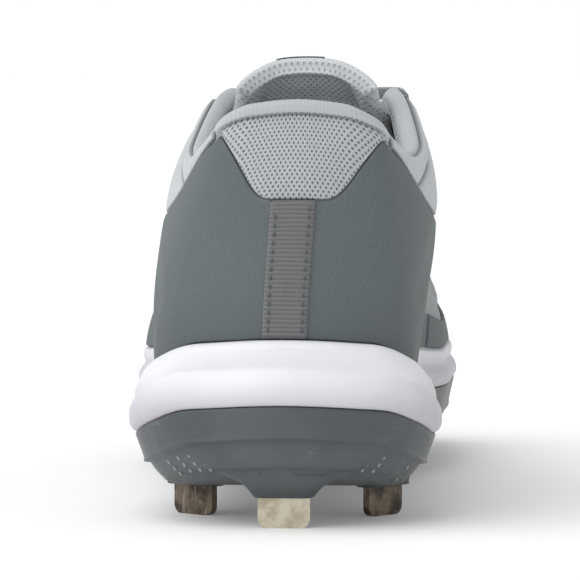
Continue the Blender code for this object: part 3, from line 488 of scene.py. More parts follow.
def bezier(points, t):
    t = t[..., None]
    p = [points[..., n, :] for n in range(4)]
    u = 1 - t
    return u**3 * p[0] + 3 * u * u * t * p[1] + 3 * u * t * t * p[2] + t**3 * p[3]


def surface(ring, share):
    """Points of the upper's outer face at ring positions (n,) and shares of rib length (n, m)."""
    control = ribs(ring)[:, None]
    t = np.linspace(0, 1, 33)
    sampled = bezier(control, np.broadcast_to(t, (len(ring), len(t))))
    length = np.cumsum(np.linalg.norm(np.diff(sampled, axis=1), axis=-1), axis=1)
    length = np.concatenate([np.zeros((len(ring), 1)), length], 1) / length[:, -1:]
    at = np.stack([np.interp(s, row, t) for s, row in zip(share, length)])
    return bezier(control, at)


def offset_surface(ring, share, offset):
    """The upper's outer face moved along its normal, outwards where the offset is positive."""
    ring = np.asarray(ring, float)
    share = np.asarray(share, float)
    step = 2e-3
    round_the_ring = surface(ring + step, share) - surface(ring - step, share)
    up_the_rib = surface(ring, np.minimum(share + step, 1)) - surface(ring, np.maximum(share - step, 0))
    normal = unit(np.cross(round_the_ring, up_the_rib))
    return surface(ring, share) + normal * np.asarray(offset)[..., None]


def wall(ring, share):
    """Thickness of the upper: a thin skin that swells into the collar's padding."""
    station, _ = fold(ring)
    swell = ease((share - 0.55) / 0.35)
    rim = np.clip((1 - share) / 0.06, 0, 1)
    soft_edge = 0.62 + 0.38 * np.sqrt(rim * (2 - rim))
    padding = (COLLAR_PADDING - UPPER_WALL) * PADDED(station)[:, None]
    return UPPER_WALL + padding * swell * soft_edge


def share_at_height(ring, height):
    """Share of each rib's length at which it reaches a height."""
    shares = np.broadcast_to(np.linspace(0, 0.6, 61), (len(ring), 61))
    z = surface(ring, shares)[..., 2]
    return np.stack([np.interp(h, row, shares[0]) for h, row in zip(height, z)])


LAYOUT_RING = np.arange(RING_POINTS) * 2 / RING_POINTS
FOOTPRINT = outline(LAYOUT_RING, np.zeros(RING_POINTS))[0]
MIDDLE = np.array([*(FOOTPRINT.min(axis=0) + FOOTPRINT.max(axis=0)) / 2, 0.0])

ARC_RING = np.linspace(-1.2, 2.2, 681)
ARC = distance_along(surface(ARC_RING, np.full((681, 1), 0.5))[:, 0])
ARC -= np.interp(0, ARC_RING, ARC)


def arc(ring):
    """Distance round the upper, in metres, from the middle of the heel."""
    return np.interp(ring, ARC_RING, ARC)


def ring_at(distance):
    """Ring position at a distance round the upper."""
    return np.interp(distance, ARC, ARC_RING)


def rib_length(ring):
    points = surface(ring, np.broadcast_to(np.linspace(0, 1, 41), (len(ring), 41)))
    return np.linalg.norm(np.diff(points, axis=1), axis=-1).sum(axis=1)


# Creases of the upper: side (+1 medial, -1 lateral), where each end is, as shares of LENGTH and of
# the rib, then half the width and the depth in millimetres. A ridge has a negative depth.
CREASES = (
    (1, 0.610, 0.42, 0.690, 0.84, 4.2, 0.75),
    (1, 0.655, 0.36, 0.745, 0.80, 4.6, 0.85),
    (1, 0.632, 0.40, 0.716, 0.82, 3.4, -0.40),
    (1, 0.700, 0.40, 0.790, 0.78, 3.8, 0.50),
    (-1, 0.590, 0.42, 0.680, 0.84, 4.4, 0.80),
    (-1, 0.640, 0.36, 0.738, 0.80, 4.8, 0.90),
    (-1, 0.615, 0.40, 0.708, 0.82, 3.4, -0.40),
    (-1, 0.690, 0.42, 0.784, 0.76, 3.8, 0.55),
    (1, 0.240, 0.42, 0.330, 0.70, 5.0, 0.50),
    (-1, 0.235, 0.40, 0.320, 0.72, 5.0, 0.55),
    (1, 0.100, 0.40, 0.175, 0.62, 5.5, 0.35),
    (-1, 0.105, 0.36, 0.180, 0.60, 5.5, 0.40),
    (1, 0.400, 0.46, 0.470, 0.66, 4.5, 0.35),
    (-1, 0.395, 0.48, 0.470, 0.70, 4.5, 0.40),
)


def relief(ring, share):
    """How far the worn upper stands out from its plain shape: creases, ridges and a slight swell."""
    station, side = fold(ring)
    along = along_of(station)[:, None] * LENGTH
    up = share * 0.100
    out = np.zeros(share.shape)
    for which, along_0, up_0, along_1, up_1, width, depth in CREASES:
        start = np.array([along_0 * LENGTH, up_0 * 0.100])
        line = np.array([along_1 * LENGTH, up_1 * 0.100]) - start
        x, y = along - start[0], up - start[1]
        t = np.clip((x * line[0] + y * line[1]) / (line @ line), 0, 1)
        away = np.hypot(x - t * line[0], y - t * line[1]) * 1000 / width
        shape = np.exp(-(away**2)) - 0.35 * np.exp(-((away - 1.7) ** 2) * 2)
        out -= shape * (side == which)[:, None] * depth * 0.001
    swell = np.sin(along * 75 + up * 40) * np.sin(up * 95 + side[:, None] * 1.3 + along * 20)
    return (out + 0.00012 * swell) * ease((share - 0.22) / 0.15) * ease((1.02 - share) / 0.08)


def face(ring, share, offset=0.0):
    """Points over the upper's outer face, creases included."""
    return offset_surface(ring, share, relief(ring, share) + offset)


def places(ring, share):
    """Place of each point on the upper's cloth, in metres: round the shoe, and up from its edge."""
    across = np.broadcast_to(arc(ring)[:, None], share.shape)
    return np.stack([across, (share - 1) * rib_length(ring)[:, None]], -1)


def grid_quads(rows, columns, start=0):
    """Faces of a grid of points, row by row."""
    at = start + np.arange(rows * columns).reshape(rows, columns)
    return np.stack([at[:-1, :-1], at[1:, :-1], at[1:, 1:], at[:-1, 1:]], -1).reshape(-1, 4)


def add_object(name, mesh):
    made = bpy.data.objects.new(name, mesh)
    bpy.context.scene.collection.objects.link(made)
    return made


def build(name, sheets, materials, node=None, edge=None):
    """An object that rides on the shoe, from sheets of points, cloth places and material numbers.

    Points of different sheets that coincide are joined, so that the sheets close to one solid.
    """
    counts = [points.shape[0] * points.shape[1] for points, _, _ in sheets]
    starts = np.concatenate([[0], np.cumsum(counts)[:-1]])
    quads, numbers = [], []
    for start, (points, _, number) in zip(starts, sheets):
        quad = grid_quads(*points.shape[:2], start)
        quads.append(quad)
        numbers.append(np.full(len(quad), number))
    quads = np.concatenate(quads)
    points = np.concatenate([sheet[0].reshape(-1, 3) for sheet in sheets]) - MIDDLE
    flat = np.concatenate([sheet[1].reshape(-1, 2) for sheet in sheets])
    mesh = bpy.data.meshes.new(name)
    mesh.from_pydata(points.tolist(), [], quads.tolist())
    layer = mesh.uv_layers.new(name="cloth")
    layer.data.foreach_set("uv", flat[quads.ravel()].astype(np.float32).ravel())
    mesh.polygons.foreach_set("material_index", np.concatenate(numbers).astype(np.int32))
    if edge is not None:
        layer = mesh.attributes.new("edge", "FLOAT", "POINT")
        layer.data.foreach_set("value", np.concatenate([e.ravel() for e in edge]).astype(np.float32))
    return finished(name, mesh, materials, node)


def turned_out(mesh, joined=0.0):
    """Turns the mesh's faces out and shades them smooth, with its touching points joined."""
    shape = bmesh.new()
    shape.from_mesh(mesh)
    if joined:
        bmesh.ops.remove_doubles(shape, verts=shape.verts, dist=joined)
    bmesh.ops.recalc_face_normals(shape, faces=shape.faces)
    shape.to_mesh(mesh)
    shape.free()
    mesh.shade_smooth()


def finished(name, mesh, materials, node=None):
    """Makes a mesh a piece of the shoe."""
    turned_out(mesh, JOINED)
    made = add_object(f"{name}_dressed" if node else name, mesh)
    for material in materials:
        mesh.materials.append(material)
    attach(made, "root")
    if node:
        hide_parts(node)
    return made


def billow(points, held, pressure, cap, scale=12.0, steps=16):
    """Blows a sheet of points up like a pad, by cloth simulation. Its held points stay."""
    rows, columns = points.shape[:2]
    quads = grid_quads(rows, columns)
    middle = points.reshape(-1, 3).mean(axis=0)
    mesh = bpy.data.meshes.new("billow")
    mesh.from_pydata(((points.reshape(-1, 3) - middle) * scale).tolist(), [], quads.tolist())
    temporary = add_object("billow", mesh)
    group = temporary.vertex_groups.new(name="held")
    group.add(np.flatnonzero(held.ravel()).tolist(), 1.0, "REPLACE")
    cloth = temporary.modifiers.new("Cloth", "CLOTH")
    settings = cloth.settings
    settings.vertex_group_mass = "held"
    settings.use_pressure = True
    settings.uniform_pressure_force = pressure
    settings.effector_weights.gravity = 0
    settings.quality = 5
    scene = bpy.context.scene
    for frame_number in range(1, steps + 1):
        scene.frame_set(frame_number)
    graph = bpy.context.evaluated_depsgraph_get()
    result = temporary.evaluated_get(graph).to_mesh()
    moved = np.zeros(rows * columns * 3, np.float32)
    result.vertices.foreach_get("co", moved)
    moved = moved.reshape(-1, 3).astype(float) / scale + middle - points.reshape(-1, 3)
    temporary.evaluated_get(graph).to_mesh_clear()
    bpy.data.objects.remove(temporary)
    scene.frame_set(1)
    length = np.linalg.norm(moved, axis=-1, keepdims=True)
    moved *= np.minimum(1, cap / np.maximum(length, 1e-9))
    return points + moved.reshape(points.shape)


def tone(red, green, blue):
    """A linear colour from its values on a screen, 0 to 255."""
    screen = np.array([red, green, blue]) / 255
    linear = np.where(screen <= 0.04045, screen / 12.92, ((screen + 0.055) / 1.055) ** 2.4)
    return (*linear.tolist(), 1.0)


def lighter(by, *colours):
    """Colours with each value raised."""
    return [tuple(value + by for value in colour) for colour in colours]


class Look:
    """A material made of nodes, with short calls for the ones that it needs."""

    def __init__(self, name, roughness, **settings):
        self.material = bpy.data.materials.new(name)
        self.material.use_nodes = True
        self.tree = self.material.node_tree
        self.shader = self.tree.nodes["Principled BSDF"]
        self.shader.inputs["Roughness"].default_value = roughness
        for key, value in settings.items():
            self.shader.inputs[key.replace("_", " ").title().replace("Ior", "IOR")].default_value = value

    def node(self, kind, *values, **settings):
        made = self.tree.nodes.new("ShaderNode" + kind)
        for key, value in settings.items():
            setattr(made, key, value)
        for socket, value in zip(made.inputs, values):
            self.feed(socket, value)
        return made

    def feed(self, socket, value):
        if isinstance(value, bpy.types.NodeSocket):
            self.tree.links.new(value, socket)
        elif value is not None:
            socket.default_value = value

    def math(self, operation, *values):
        return self.node("Math", *values, operation=operation).outputs[0]

    def add(self, *values):
        return self.math("ADD", *values)

    def times(self, *values):
        return self.math("MULTIPLY", *values)

    def span(self, value, low, high, start=0.0, end=1.0):
        """A soft step from start to end as the value goes from low to high."""
        made = self.node("MapRange", value, low, high, start, end, interpolation_type="SMOOTHSTEP")
        return made.outputs[0]

    def wave(self, value, pitch):
        """A wave from 0 to 1 with a pitch in metres."""
        angle = self.times(value, 2 * math.pi / pitch)
        return self.add(self.times(self.math("SINE", angle), 0.5), 0.5)

    def cloth(self):
        """Place on the cloth in metres: across and up."""
        made = self.node("SeparateXYZ", self.node("UVMap", uv_map="cloth").outputs[0])
        return made.outputs[0], made.outputs[1]

    def place(self):
        return self.node("TexCoord").outputs["Object"]

    def height(self):
        """Height over the floor in metres."""
        return self.node("SeparateXYZ", self.place()).outputs[2]

    def noise(self, scale, detail=3.0, roughness=0.55, stretch=None):
        place = self.place()
        if stretch:
            place = self.node("VectorMath", place, stretch, operation="MULTIPLY").outputs[0]
        made = self.node("TexNoise")
        self.feed(made.inputs["Vector"], place)
        for key, value in (("Scale", scale), ("Detail", detail), ("Roughness", roughness)):
            made.inputs[key].default_value = value
        return made.outputs[0]

    def edge(self):
        """0 at a panel's border, 1 a millimetre in from it."""
        return self.node("Attribute", attribute_name="edge").outputs["Fac"]

    def mix(self, share, first, second):
        """A mix of two colours, each a socket or a tone from 0 to 255."""
        made = self.node("Mix", data_type="RGBA")
        for number, value in ((0, share), (6, first), (7, second)):
            self.feed(made.inputs[number], tone(*value) if isinstance(value, tuple) else value)
        return made.outputs[2]

    def patches(self, noise, low, high, share):
        """A share of another colour where a noise is high."""
        return self.times(self.span(noise, low, high), share)

    def colour(self, value):
        self.feed(self.shader.inputs["Base Color"], value)

    def rough(self, value):
        self.feed(self.shader.inputs["Roughness"], value)

    def relief(self, *layers):
        """The finished material, with bump from heights (0 to 1) and their depths in metres."""
        normal = None
        for height, depth in layers:
            made = self.node("Bump")
            made.inputs["Distance"].default_value = depth
            self.feed(made.inputs["Height"], height)
            if normal is not None:
                self.feed(made.inputs["Normal"], normal)
            normal = made.outputs[0]
        self.feed(self.shader.inputs["Normal"], normal)
        return self.material


def holes(look, across, up, pitch, row, radius):
    """1 in the holes of a net whose rows are set half a pitch apart, 0 on its threads."""
    line = look.times(up, 1 / row)
    odd = look.times(look.math("FLOORED_MODULO", look.math("FLOOR", line), 2.0), 0.5)
    x = look.add(look.math("FRACT", look.add(look.times(across, 1 / pitch), odd)), -0.5)
    y = look.add(look.math("FRACT", line), -0.5)
    x, y = look.times(x, pitch), look.times(y, row)
    away = look.math("SQRT", look.add(look.times(x, x), look.times(y, y)))
    return look.span(away, radius * 1.25, radius * 0.55)


def woven(look, across, up, pitch):
    """Height of a plain weave."""
    return look.times(look.wave(across, pitch), look.wave(up, pitch))


def light_textile():
    look = Look("light_textile", 0.82, sheen_weight=0.25, sheen_roughness=0.5)
    across, up = look.cloth()
    weave = woven(look, look.add(across, up), look.add(across, look.times(up, -1.0)), 0.0009)
    cloud = look.noise(40, 4)
    shade = look.mix(look.span(weave, 0.1, 0.7), (140, 145, 148), (176, 180, 182))
    look.colour(look.mix(look.patches(cloud, 0.35, 0.7, 0.25), shade, (150, 152, 152)))
    return look.relief((weave, 0.00016), (look.noise(1500, 2), 0.00006))


def dark_synthetic():
    look = Look("dark_synthetic", 0.6, specular_ior_level=0.35)
    across, up = look.cloth()
    weave = woven(look, look.add(across, up), look.add(across, look.times(up, -1.0)), 0.00075)
    grain = look.noise(2600, 3, 0.6)
    cloud = look.noise(26, 4, 0.5)
    shade = look.mix(look.span(grain, 0.35, 0.65), (86, 94, 96), (99, 107, 109))
    shade = look.mix(look.patches(cloud, 0.3, 0.7, 0.35), shade, (84, 92, 95))
    # Painted shade: darker towards the bottom, from 72 mm down to 36 mm over the floor.
    shade = look.mix(look.span(look.height(), 0.072, 0.036, 0.0, 0.8), shade, (80, 87, 89))
    # Edge wear and a painted highlight: lighter near each panel's border, in noisy patches.
    wear_and_edge_highlight = look.times(look.span(look.edge(), 1.0, 0.1), look.span(look.noise(90, 4), 0.4, 0.75))
    look.colour(look.mix(look.times(wear_and_edge_highlight, 0.35), shade, (138, 146, 148)))
    look.rough(look.span(grain, 0.2, 0.8, 0.5, 0.68))
    return look.relief((weave, 0.00005), (grain, 0.00009))


def padded_mesh(name="padded_mesh", pitch=0.0019, row=0.0011, radius=0.00036, rim=1.0, light=0,
                dark=(104, 110, 114)):
    look = Look(name, 0.85, sheen_weight=0.3, sheen_roughness=0.5)
    across, up = look.cloth()
    hole = holes(look, across, up, pitch, row, radius)
    thread = look.noise(3800, 2, 0.6)
    hole = look.times(hole, look.span(look.edge(), 0.3, 1.0, rim, 1.0))
    pale, shade = lighter(light, (170, 174, 178), (190, 194, 197))
    cloth = look.mix(look.span(thread, 0.3, 0.7), pale, shade)
    cloth = look.mix(look.patches(look.noise(60, 3), 0.4, 0.7, 0.3), cloth, (164, 168, 171))
    look.colour(look.mix(hole, cloth, dark))
    depth = look.times(hole, -1.0)
    return look.relief((depth, 0.0004), (thread, 0.00010))


def collar_rib():
    look = Look("collar_rib", 0.8, sheen_weight=0.3, sheen_roughness=0.45)
    across, up = look.cloth()
    rib = look.wave(across, 0.0014)
    stitch = look.wave(up, 0.0009)
    shade = look.mix(look.span(rib, 0.0, 0.6), (172, 177, 180), (194, 198, 201))
    shade = look.mix(look.patches(look.noise(55, 3), 0.35, 0.7, 0.3), shade, (178, 183, 186))
    # Painted shade: darker within about a millimetre of the panel's border and of its sewn channel.
    look.colour(look.mix(look.span(look.edge(), 0.9, 0.0, 0.0, 0.75), shade, (98, 104, 108)))
    return look.relief((rib, 0.00016), (stitch, 0.00005), (look.noise(2800, 2), 0.00005))


def webbing():
    look = Look("webbing", 0.75, sheen_weight=0.2, sheen_roughness=0.5)
    across, up = look.cloth()
    rib = look.wave(up, 0.0012)
    thread = look.wave(across, 0.00045)
    shade = look.mix(look.span(rib, 0.05, 0.6), (90, 94, 95), (110, 112, 112))
    look.colour(look.mix(look.times(look.noise(700, 3), 0.3), shade, (104, 106, 106)))
    return look.relief((rib, 0.00022), (thread, 0.00006))


def binding():
    look = Look("binding", 0.8, sheen_weight=0.3, sheen_roughness=0.5)
    across, up = look.cloth()
    weave = woven(look, across, up, 0.0006)
    rib = look.wave(across, 0.0014)
    shade = look.mix(look.span(weave, 0.1, 0.8), (176, 181, 184), (186, 191, 194))
    look.colour(look.mix(look.patches(rib, 0.5, 0.0, 0.3), shade, (160, 166, 170)))
    return look.relief((weave, 0.00005), (rib, 0.00006), (look.noise(2200, 2), 0.00006))


def lining():
    look = Look("lining", 0.9, sheen_weight=0.3, sheen_roughness=0.5)
    across, up = look.cloth()
    hole = holes(look, across, up, 0.0022, 0.0014, 0.00042)
    cloth = look.mix(look.noise(1800, 3), (164, 168, 171), (188, 192, 195))
    look.colour(look.mix(hole, cloth, (92, 98, 102)))
    return look.relief((look.times(hole, -1.0), 0.0004), (look.noise(2600, 2), 0.00008))


def foam():
    look = Look("foam", 0.48, subsurface_weight=0.0, specular_ior_level=0.4)
    grain = look.noise(900, 4, 0.6)
    cloud = look.noise(30, 3)
    shade = look.mix(look.span(cloud, 0.35, 0.7), (226, 227, 231), (220, 221, 226))
    # A lavender tint with painted shade: darker and more lavender towards the bottom, from 44 mm down to 30
    # mm over the floor.
    shade = look.mix(look.span(look.height(), 0.044, 0.030), shade, (190, 187, 194))
    dust = look.patches(look.noise(220, 5, 0.7), 0.62, 0.8, 0.25)
    look.colour(look.mix(dust, shade, (214, 213, 210)))
    look.rough(look.span(grain, 0.3, 0.7, 0.42, 0.56))
    return look.relief((grain, 0.00005), (look.noise(140, 2), 0.00008))


def plate(name="plate", light=0):
    look = Look(name, 0.42, specular_ior_level=0.45)
    grain = look.noise(1900, 3, 0.6)
    cloud = look.noise(45, 4)
    pale, dim, underside_shade = lighter(light, (82, 87, 89), (74, 78, 82), (46, 50, 51))
    shade = look.mix(look.span(cloud, 0.3, 0.7), dim, pale)
    # Painted shade under the plate: darker towards the bottom, from 14 mm down to 9.5 mm over the floor.
    shade = look.mix(look.span(look.height(), 0.0140, 0.0095, 0.0, 0.6), shade, underside_shade)
    scuff = look.noise(160, 5, 0.7, stretch=(1.0, 1.0, 3.0))
    look.colour(look.mix(look.patches(scuff, 0.58, 0.75, 0.3), shade, (122, 127, 128)))
    look.rough(look.span(grain, 0.25, 0.75, 0.36, 0.52))
    return look.relief((grain, 0.00007), (look.noise(420, 2), 0.00006))


def steel(name, first, second, roughness):
    look = Look(name, roughness, metallic=1.0)
    scratch = look.noise(900, 4, 0.65, stretch=(1.0, 1.0, 0.12))
    # Blotches between the look's two tones, which paint a reflection on the rear blade and shade on the
    # side blades.
    blotch = look.noise(190, 4, 0.6)
    shade = look.mix(look.span(blotch, 0.38, 0.66), first, second)
    look.colour(look.mix(look.patches(scratch, 0.55, 0.8, 0.4), shade, (226, 220, 208)))
    look.rough(look.span(scratch, 0.3, 0.8, roughness, roughness + 0.16))
    return look.relief((scratch, 0.00004))


def lace():
    look = Look("lace", 0.8, sheen_weight=0.3, sheen_roughness=0.5)
    across, up = look.cloth()
    braid = look.wave(look.add(up, look.times(look.math("ABSOLUTE", across), 0.9)), 0.0011)
    cross = look.wave(across, 0.0008)
    look.colour(look.mix(look.span(braid, 0.05, 0.7), (146, 152, 156), (190, 194, 197)))
    return look.relief((braid, 0.00022), (cross, 0.0001))


def thread(name, first, second):
    look = Look(name, 0.6, sheen_weight=0.2)
    twist = look.noise(3200, 2, 0.5)
    look.colour(look.mix(twist, first, second))
    return look.relief((twist, 0.00006))


def insole_cloth():
    look = Look("insole_cloth", 0.9, sheen_weight=0.3, sheen_roughness=0.5)
    across, up = look.cloth()
    weave = woven(look, across, up, 0.0010)
    shade = look.mix(look.span(weave, 0.1, 0.8), (70, 76, 80), (98, 104, 108))
    look.colour(look.mix(look.times(look.noise(50, 3), 0.4), shade, (84, 88, 90)))
    return look.relief((weave, 0.00014), (look.noise(60, 2), 0.0002))


def label():
    look = Look("label", 0.7)
    across, up = look.cloth()
    weave = woven(look, across, up, 0.0005)
    look.colour(look.mix(weave, (52, 58, 62), (74, 80, 84)))
    return look.relief((weave, 0.00008))


def floor_look():
    look = Look("floor", 0.7, specular_ior_level=0.2, emission_color=(1, 1, 1, 1), emission_strength=0.10)
    look.colour(look.mix(look.noise(3, 2), (246, 246, 247), (250, 250, 251)))
    return look.material


LOOKS = {
    "textile": light_textile(),
    "dark": dark_synthetic(),
    "mesh": padded_mesh(light=-4),
    "tongue": padded_mesh("tongue_mesh", 0.0019, 0.0012, 0.00036, 0.6, 26, (146, 152, 156)),
    "rib": collar_rib(),
    "webbing": webbing(),
    "binding": binding(),
    "lining": lining(),
    "foam": foam(),
    "plate": plate(),
    # Painted highlight: the small teeth take the plate's look, 55 lighter.
    "teeth": plate("plate_teeth", 55),
    # Two copies of one steel for the spikes: the rear blade's pale brown tones are a painted reflection,
    # and the side blades' far darker tones are painted shade.
    "steel": steel("rear_steel", (206, 198, 180), (176, 166, 146), 0.38),
    "steel_shaded": steel("steel_painted_shade", (116, 105, 92), (68, 61, 56), 0.42),
    "lace": lace(),
    "dark_thread": thread("dark_thread", (58, 64, 68), (84, 90, 94)),
    "pad_thread": thread("pad_thread", (108, 114, 118), (140, 145, 149)),
    "insole": insole_cloth(),
    "label": label(),
    "floor": floor_look(),
}


# Gap between the upper and what is sewn over it, and how wide a panel's rounded border is
BASE = 0.00012
BORDER = 0.0006
BORDER_STEPS = BORDER * np.array([0, 0.1, 0.3, 0.6, 1.0])


def columns(start, end, count):
    """Ring positions from start to end, closer together in the soft border at both ends."""
    low = ring_at(arc(start) + BORDER_STEPS)
    high = ring_at(arc(end) - BORDER_STEPS[::-1])
    return np.concatenate([low, np.linspace(low[-1], high[0], count + 2)[1:-1], high])


def panel_rows(ring, low, high, count):
    """Shares of the rib from low to high, closer together in the soft border, and the border's distance."""
    length = rib_length(ring)
    low, high = np.asarray(low), np.asarray(high)
    tall = (high - low) * length
    shrink = np.minimum(1, tall / (2.6 * BORDER))[:, None]
    border = BORDER_STEPS * shrink / length[:, None]
    lower = low[:, None] + border
    upper = high[:, None] - border[:, ::-1]
    middle = lower[:, -1:] + (upper[:, :1] - lower[:, -1:]) * np.linspace(0, 1, count + 2)[1:-1]
    share = np.concatenate([lower, middle, upper], 1)
    away = np.minimum(share - low[:, None], high[:, None] - share) * length[:, None]
    ends = np.minimum(arc(ring) - arc(ring[0]), arc(ring[-1]) - arc(ring))
    return share, np.maximum(np.minimum(away, ends[:, None]), 0)


def rounded(away, soft=BORDER):
    """Height of a rounded border, from 0 at the edge to 1."""
    part = np.clip(away / soft, 0, 1)
    return np.sqrt(np.maximum(part * (2 - part), 0))


def panel(name, ring, low, high, count, rise, look, swell=None, pressure=0.0,
          cap=0.0, seam=None):
    """An overlay on the upper, closed all round, with a rounded border and perhaps a sewn channel."""
    share, away = panel_rows(ring, low, high, count)
    if seam is not None:
        from_seam = np.abs(share - seam(ring)[:, None]) * rib_length(ring)[:, None]
        rise = rise - 0.0007 * bump(from_seam / 0.0014) * ease(away / 0.002)
    offset = BASE + rise * rounded(away)
    if swell is not None:
        offset = offset + swell(ring, share, away)
    outer = face(ring, share, offset)
    if seam is not None:
        away = np.minimum(away, np.maximum(from_seam - 0.0001, 0))
    if pressure:
        outer = billow(outer, away < 0.0007, pressure, cap)
    inner = face(ring, share, BASE)
    cloth = places(ring, share)
    edge = np.clip(away / 0.001, 0, 1)
    sheets = [(outer, cloth, 0), (inner, cloth, 0)]
    return build(name, sheets, [LOOKS[look]], name, edge=[edge, edge])


def edge_share(ring, table):
    """Share of the rib of an edge table, at ring positions."""
    return along_table(table)(fold(ring)[0])


def from_middle(points, share):
    """Sideways distance from the middle of the heel at the same share of the rib."""
    middle = surface(np.zeros(1), np.atleast_2d(share[:1]))[0, :, 0]
    return points[..., 0] - middle


def pad_end(side):
    """Ring position of the heel pad's upper corner on a side."""
    ring = side * np.linspace(0, 0.3, 301)
    shares = np.full((301, 1), 0.97)
    x = from_middle(surface(ring, shares), shares)[:, 0] - HEEL_PAD_SHIFT
    return float(np.interp(HEEL_PAD_WIDTH / 2 - 0.0003, side * x, ring * side)) * side


def pad_part(ring):
    """0 at the middle of the heel pad and 1 at its ends."""
    ring = np.where(ring > 1, ring - 2, ring)
    return np.where(ring > 0, ring / PAD_ENDS[1], ring / PAD_ENDS[0])


def pad_low(ring):
    """Lower edge of the heel pad: flat in the middle, slanting up to its corners."""
    shares = np.broadcast_to(np.linspace(0.3, 1, 141), (len(ring), 141))
    points = surface(ring, shares)
    across = np.abs(from_middle(points, shares) - HEEL_PAD_SHIFT) / (HEEL_PAD_WIDTH / 2)
    table = column(PAD_EDGE, 0), column(PAD_EDGE, 1)
    rise = sum(np.interp(across + step, *table) for step in (-0.10, -0.05, 0, 0.05, 0.10)) / 5
    edge = HEEL_PAD_BASE + (points[:, -1:, 2] - HEEL_PAD_BASE) * rise
    return np.array([np.interp(0, row, shares[0]) for row in points[..., 2] - edge])


PAD_TOP = 0.972
PAD_ENDS = (pad_end(-1), pad_end(1))


def rim_roll(ring):
    """How far the rolled binding over the heel pad stands out."""
    return 0.0021 * ease((1.10 - pad_part(ring)) / 0.30)


def rim_share(ring):
    """Share of each rib's length at the foam's rim."""
    return share_at_height(ring, foam_rim(fold(ring)[0]))


def make_upper():
    ring = np.linspace(-1, 1, 401)
    low = rim_share(ring)[:, None]
    below = low * np.array([0, 0.5, 0.85])
    above = low + (0.965 - low) * np.linspace(0, 1, 78)
    top = 0.965 + 0.035 * np.linspace(0, 1, 9)[1:]
    share = np.concatenate([below, above, np.broadcast_to(top, (401, 8))], 1)
    roll = rim_roll(ring)[:, None] * ease((share - PAD_TOP + 0.004) / 0.012)
    outer = face(ring, share, roll)
    back = 1 - (1 - np.linspace(1, 0, 36)) ** 1.3
    inner_share = np.broadcast_to(back, (401, 36))
    inner = face(ring, inner_share, -wall(ring, inner_share))
    inner[:, -1, 2] = outer[:, 0, 2]
    middle = (outer[:, -1] + inner[:, 0]) / 2
    rise = outer[:, -1] - outer[:, -3]
    rise = unit(rise)
    rise = rise * (0.30 * wall(ring, np.ones((401, 1))))
    angles = np.linspace(0, math.pi, 11)
    half = (outer[:, -1] - inner[:, 0]) / 2
    lip = middle[:, None] + half[:, None] * np.cos(angles)[:, None]
    lip = lip + rise[:, None] * np.sin(angles)[:, None]
    cloth = places(ring, share)
    lip_cloth = cloth[:, -1:] + np.array([0, 1]) * (np.linspace(0, 0.006, 11)[:, None])
    inner_cloth = places(ring, inner_share) * [1, -1]
    floor_sheet = np.stack([outer[:, 0], inner[:, -1]], 1)
    floor_cloth = np.stack([cloth[:, 0], inner_cloth[:, -1]], 1)
    split = 3 + 78
    sheets = [
        (outer[:, :split], cloth[:, :split], 0),
        (outer[:, split - 1:], cloth[:, split - 1:], 1),
        (lip, lip_cloth, 1),
        (inner, inner_cloth, 2),
        (floor_sheet, floor_cloth, 2),
    ]
    looks = [LOOKS["textile"], LOOKS["binding"], LOOKS["lining"]]
    return build("upper_shell", sheets, looks, "upper")


def make_overlays():
    end = float(station_of(QUARTER_EDGE[-1][0]))
    ring = columns(-end, end, 260)
    low = rim_share(ring) + 0.0012
    high = np.minimum(edge_share(ring, QUARTER_EDGE), pad_low(ring) - 0.004)
    panel("quarter", ring, low, high, 56, 0.0010, "dark")

    start = float(station_of(GUARD_EDGE[0][0])) + 0.003
    ring = columns(start, 2 - start, 200)
    low = rim_share(ring) + 0.0012
    panel("toe_guard", ring, low, edge_share(ring, GUARD_EDGE), 16, 0.0010, "dark")

    start = float(station_of(EYESTAY_EDGE[0][0]))
    ring = columns(start, 2 - start, 240)
    low, high = edge_share(ring, EYESTAY_EDGE), np.full(ring.shape, 0.972)
    return panel("eyestay", ring, low, high, 14, 0.0010, "dark")


def pad_high(ring):
    """Upper edge of the heel pad, which drops at its corners."""
    return PAD_TOP - 0.045 * np.clip((pad_part(ring) - 0.80) / 0.20, 0, 1) ** 2.4


def make_heel_pad():
    ring = columns(*PAD_ENDS, 120)
    high = pad_high(ring)
    low = np.minimum(pad_low(ring), high - 0.010)

    def swell(ring, share, away):
        return HEEL_PAD_PUFF * 0.55 * ease(away / 0.005)

    return panel("heel_pad", ring, low, high, 70, OVERLAY, "mesh", swell=swell,
                 pressure=6.0, cap=0.0011)


def collar_seam(ring):
    return edge_share(ring, COLLAR_SEAM)


def make_collar_panels():
    end = float(station_of(EYESTAY_EDGE[0][0])) - 0.004
    for name, side in (("collar_panel_medial", 1), ("collar_panel_lateral", -1)):
        start = abs(pad_end(side)) + 0.003
        ring = columns(start, end, 90)
        ring = ring if side > 0 else 2 - ring[::-1]
        part = (fold(ring)[0] - start) / (end - start)
        high = 0.985 - 0.03 * np.clip((part - 0.9) / 0.1, 0, 1) ** 2

        def swell(ring, share, away):
            from_seam = np.abs(share - collar_seam(ring)[:, None]) * rib_length(ring)[:, None]
            return COLLAR_PUFF * 0.6 * ease(np.minimum(away, from_seam) / 0.004)

        made = panel(name, ring, edge_share(ring, COLLAR_EDGE), high, 56, OVERLAY, "rib",
                     swell=swell, pressure=5.0, cap=0.0008, seam=collar_seam)


def webbing_share(over, under, count):
    """Shares of the rib up the heel, from over the foam's rim to under the pad."""
    heel = np.zeros(1)
    return np.linspace(float(rim_share(heel)[0]) + over, float(pad_low(heel)[0]) - under, count)


def webbing_ring(across, share):
    """Ring positions at distances across the webbing, for each share of the rib."""
    probe = np.linspace(0, 0.2, 201)
    shares = np.broadcast_to(share, (201, len(share)))
    x = from_middle(surface(probe, shares), shares)
    return np.array([np.interp(np.abs(across), row, probe) * np.sign(across) for row in x.T]).T


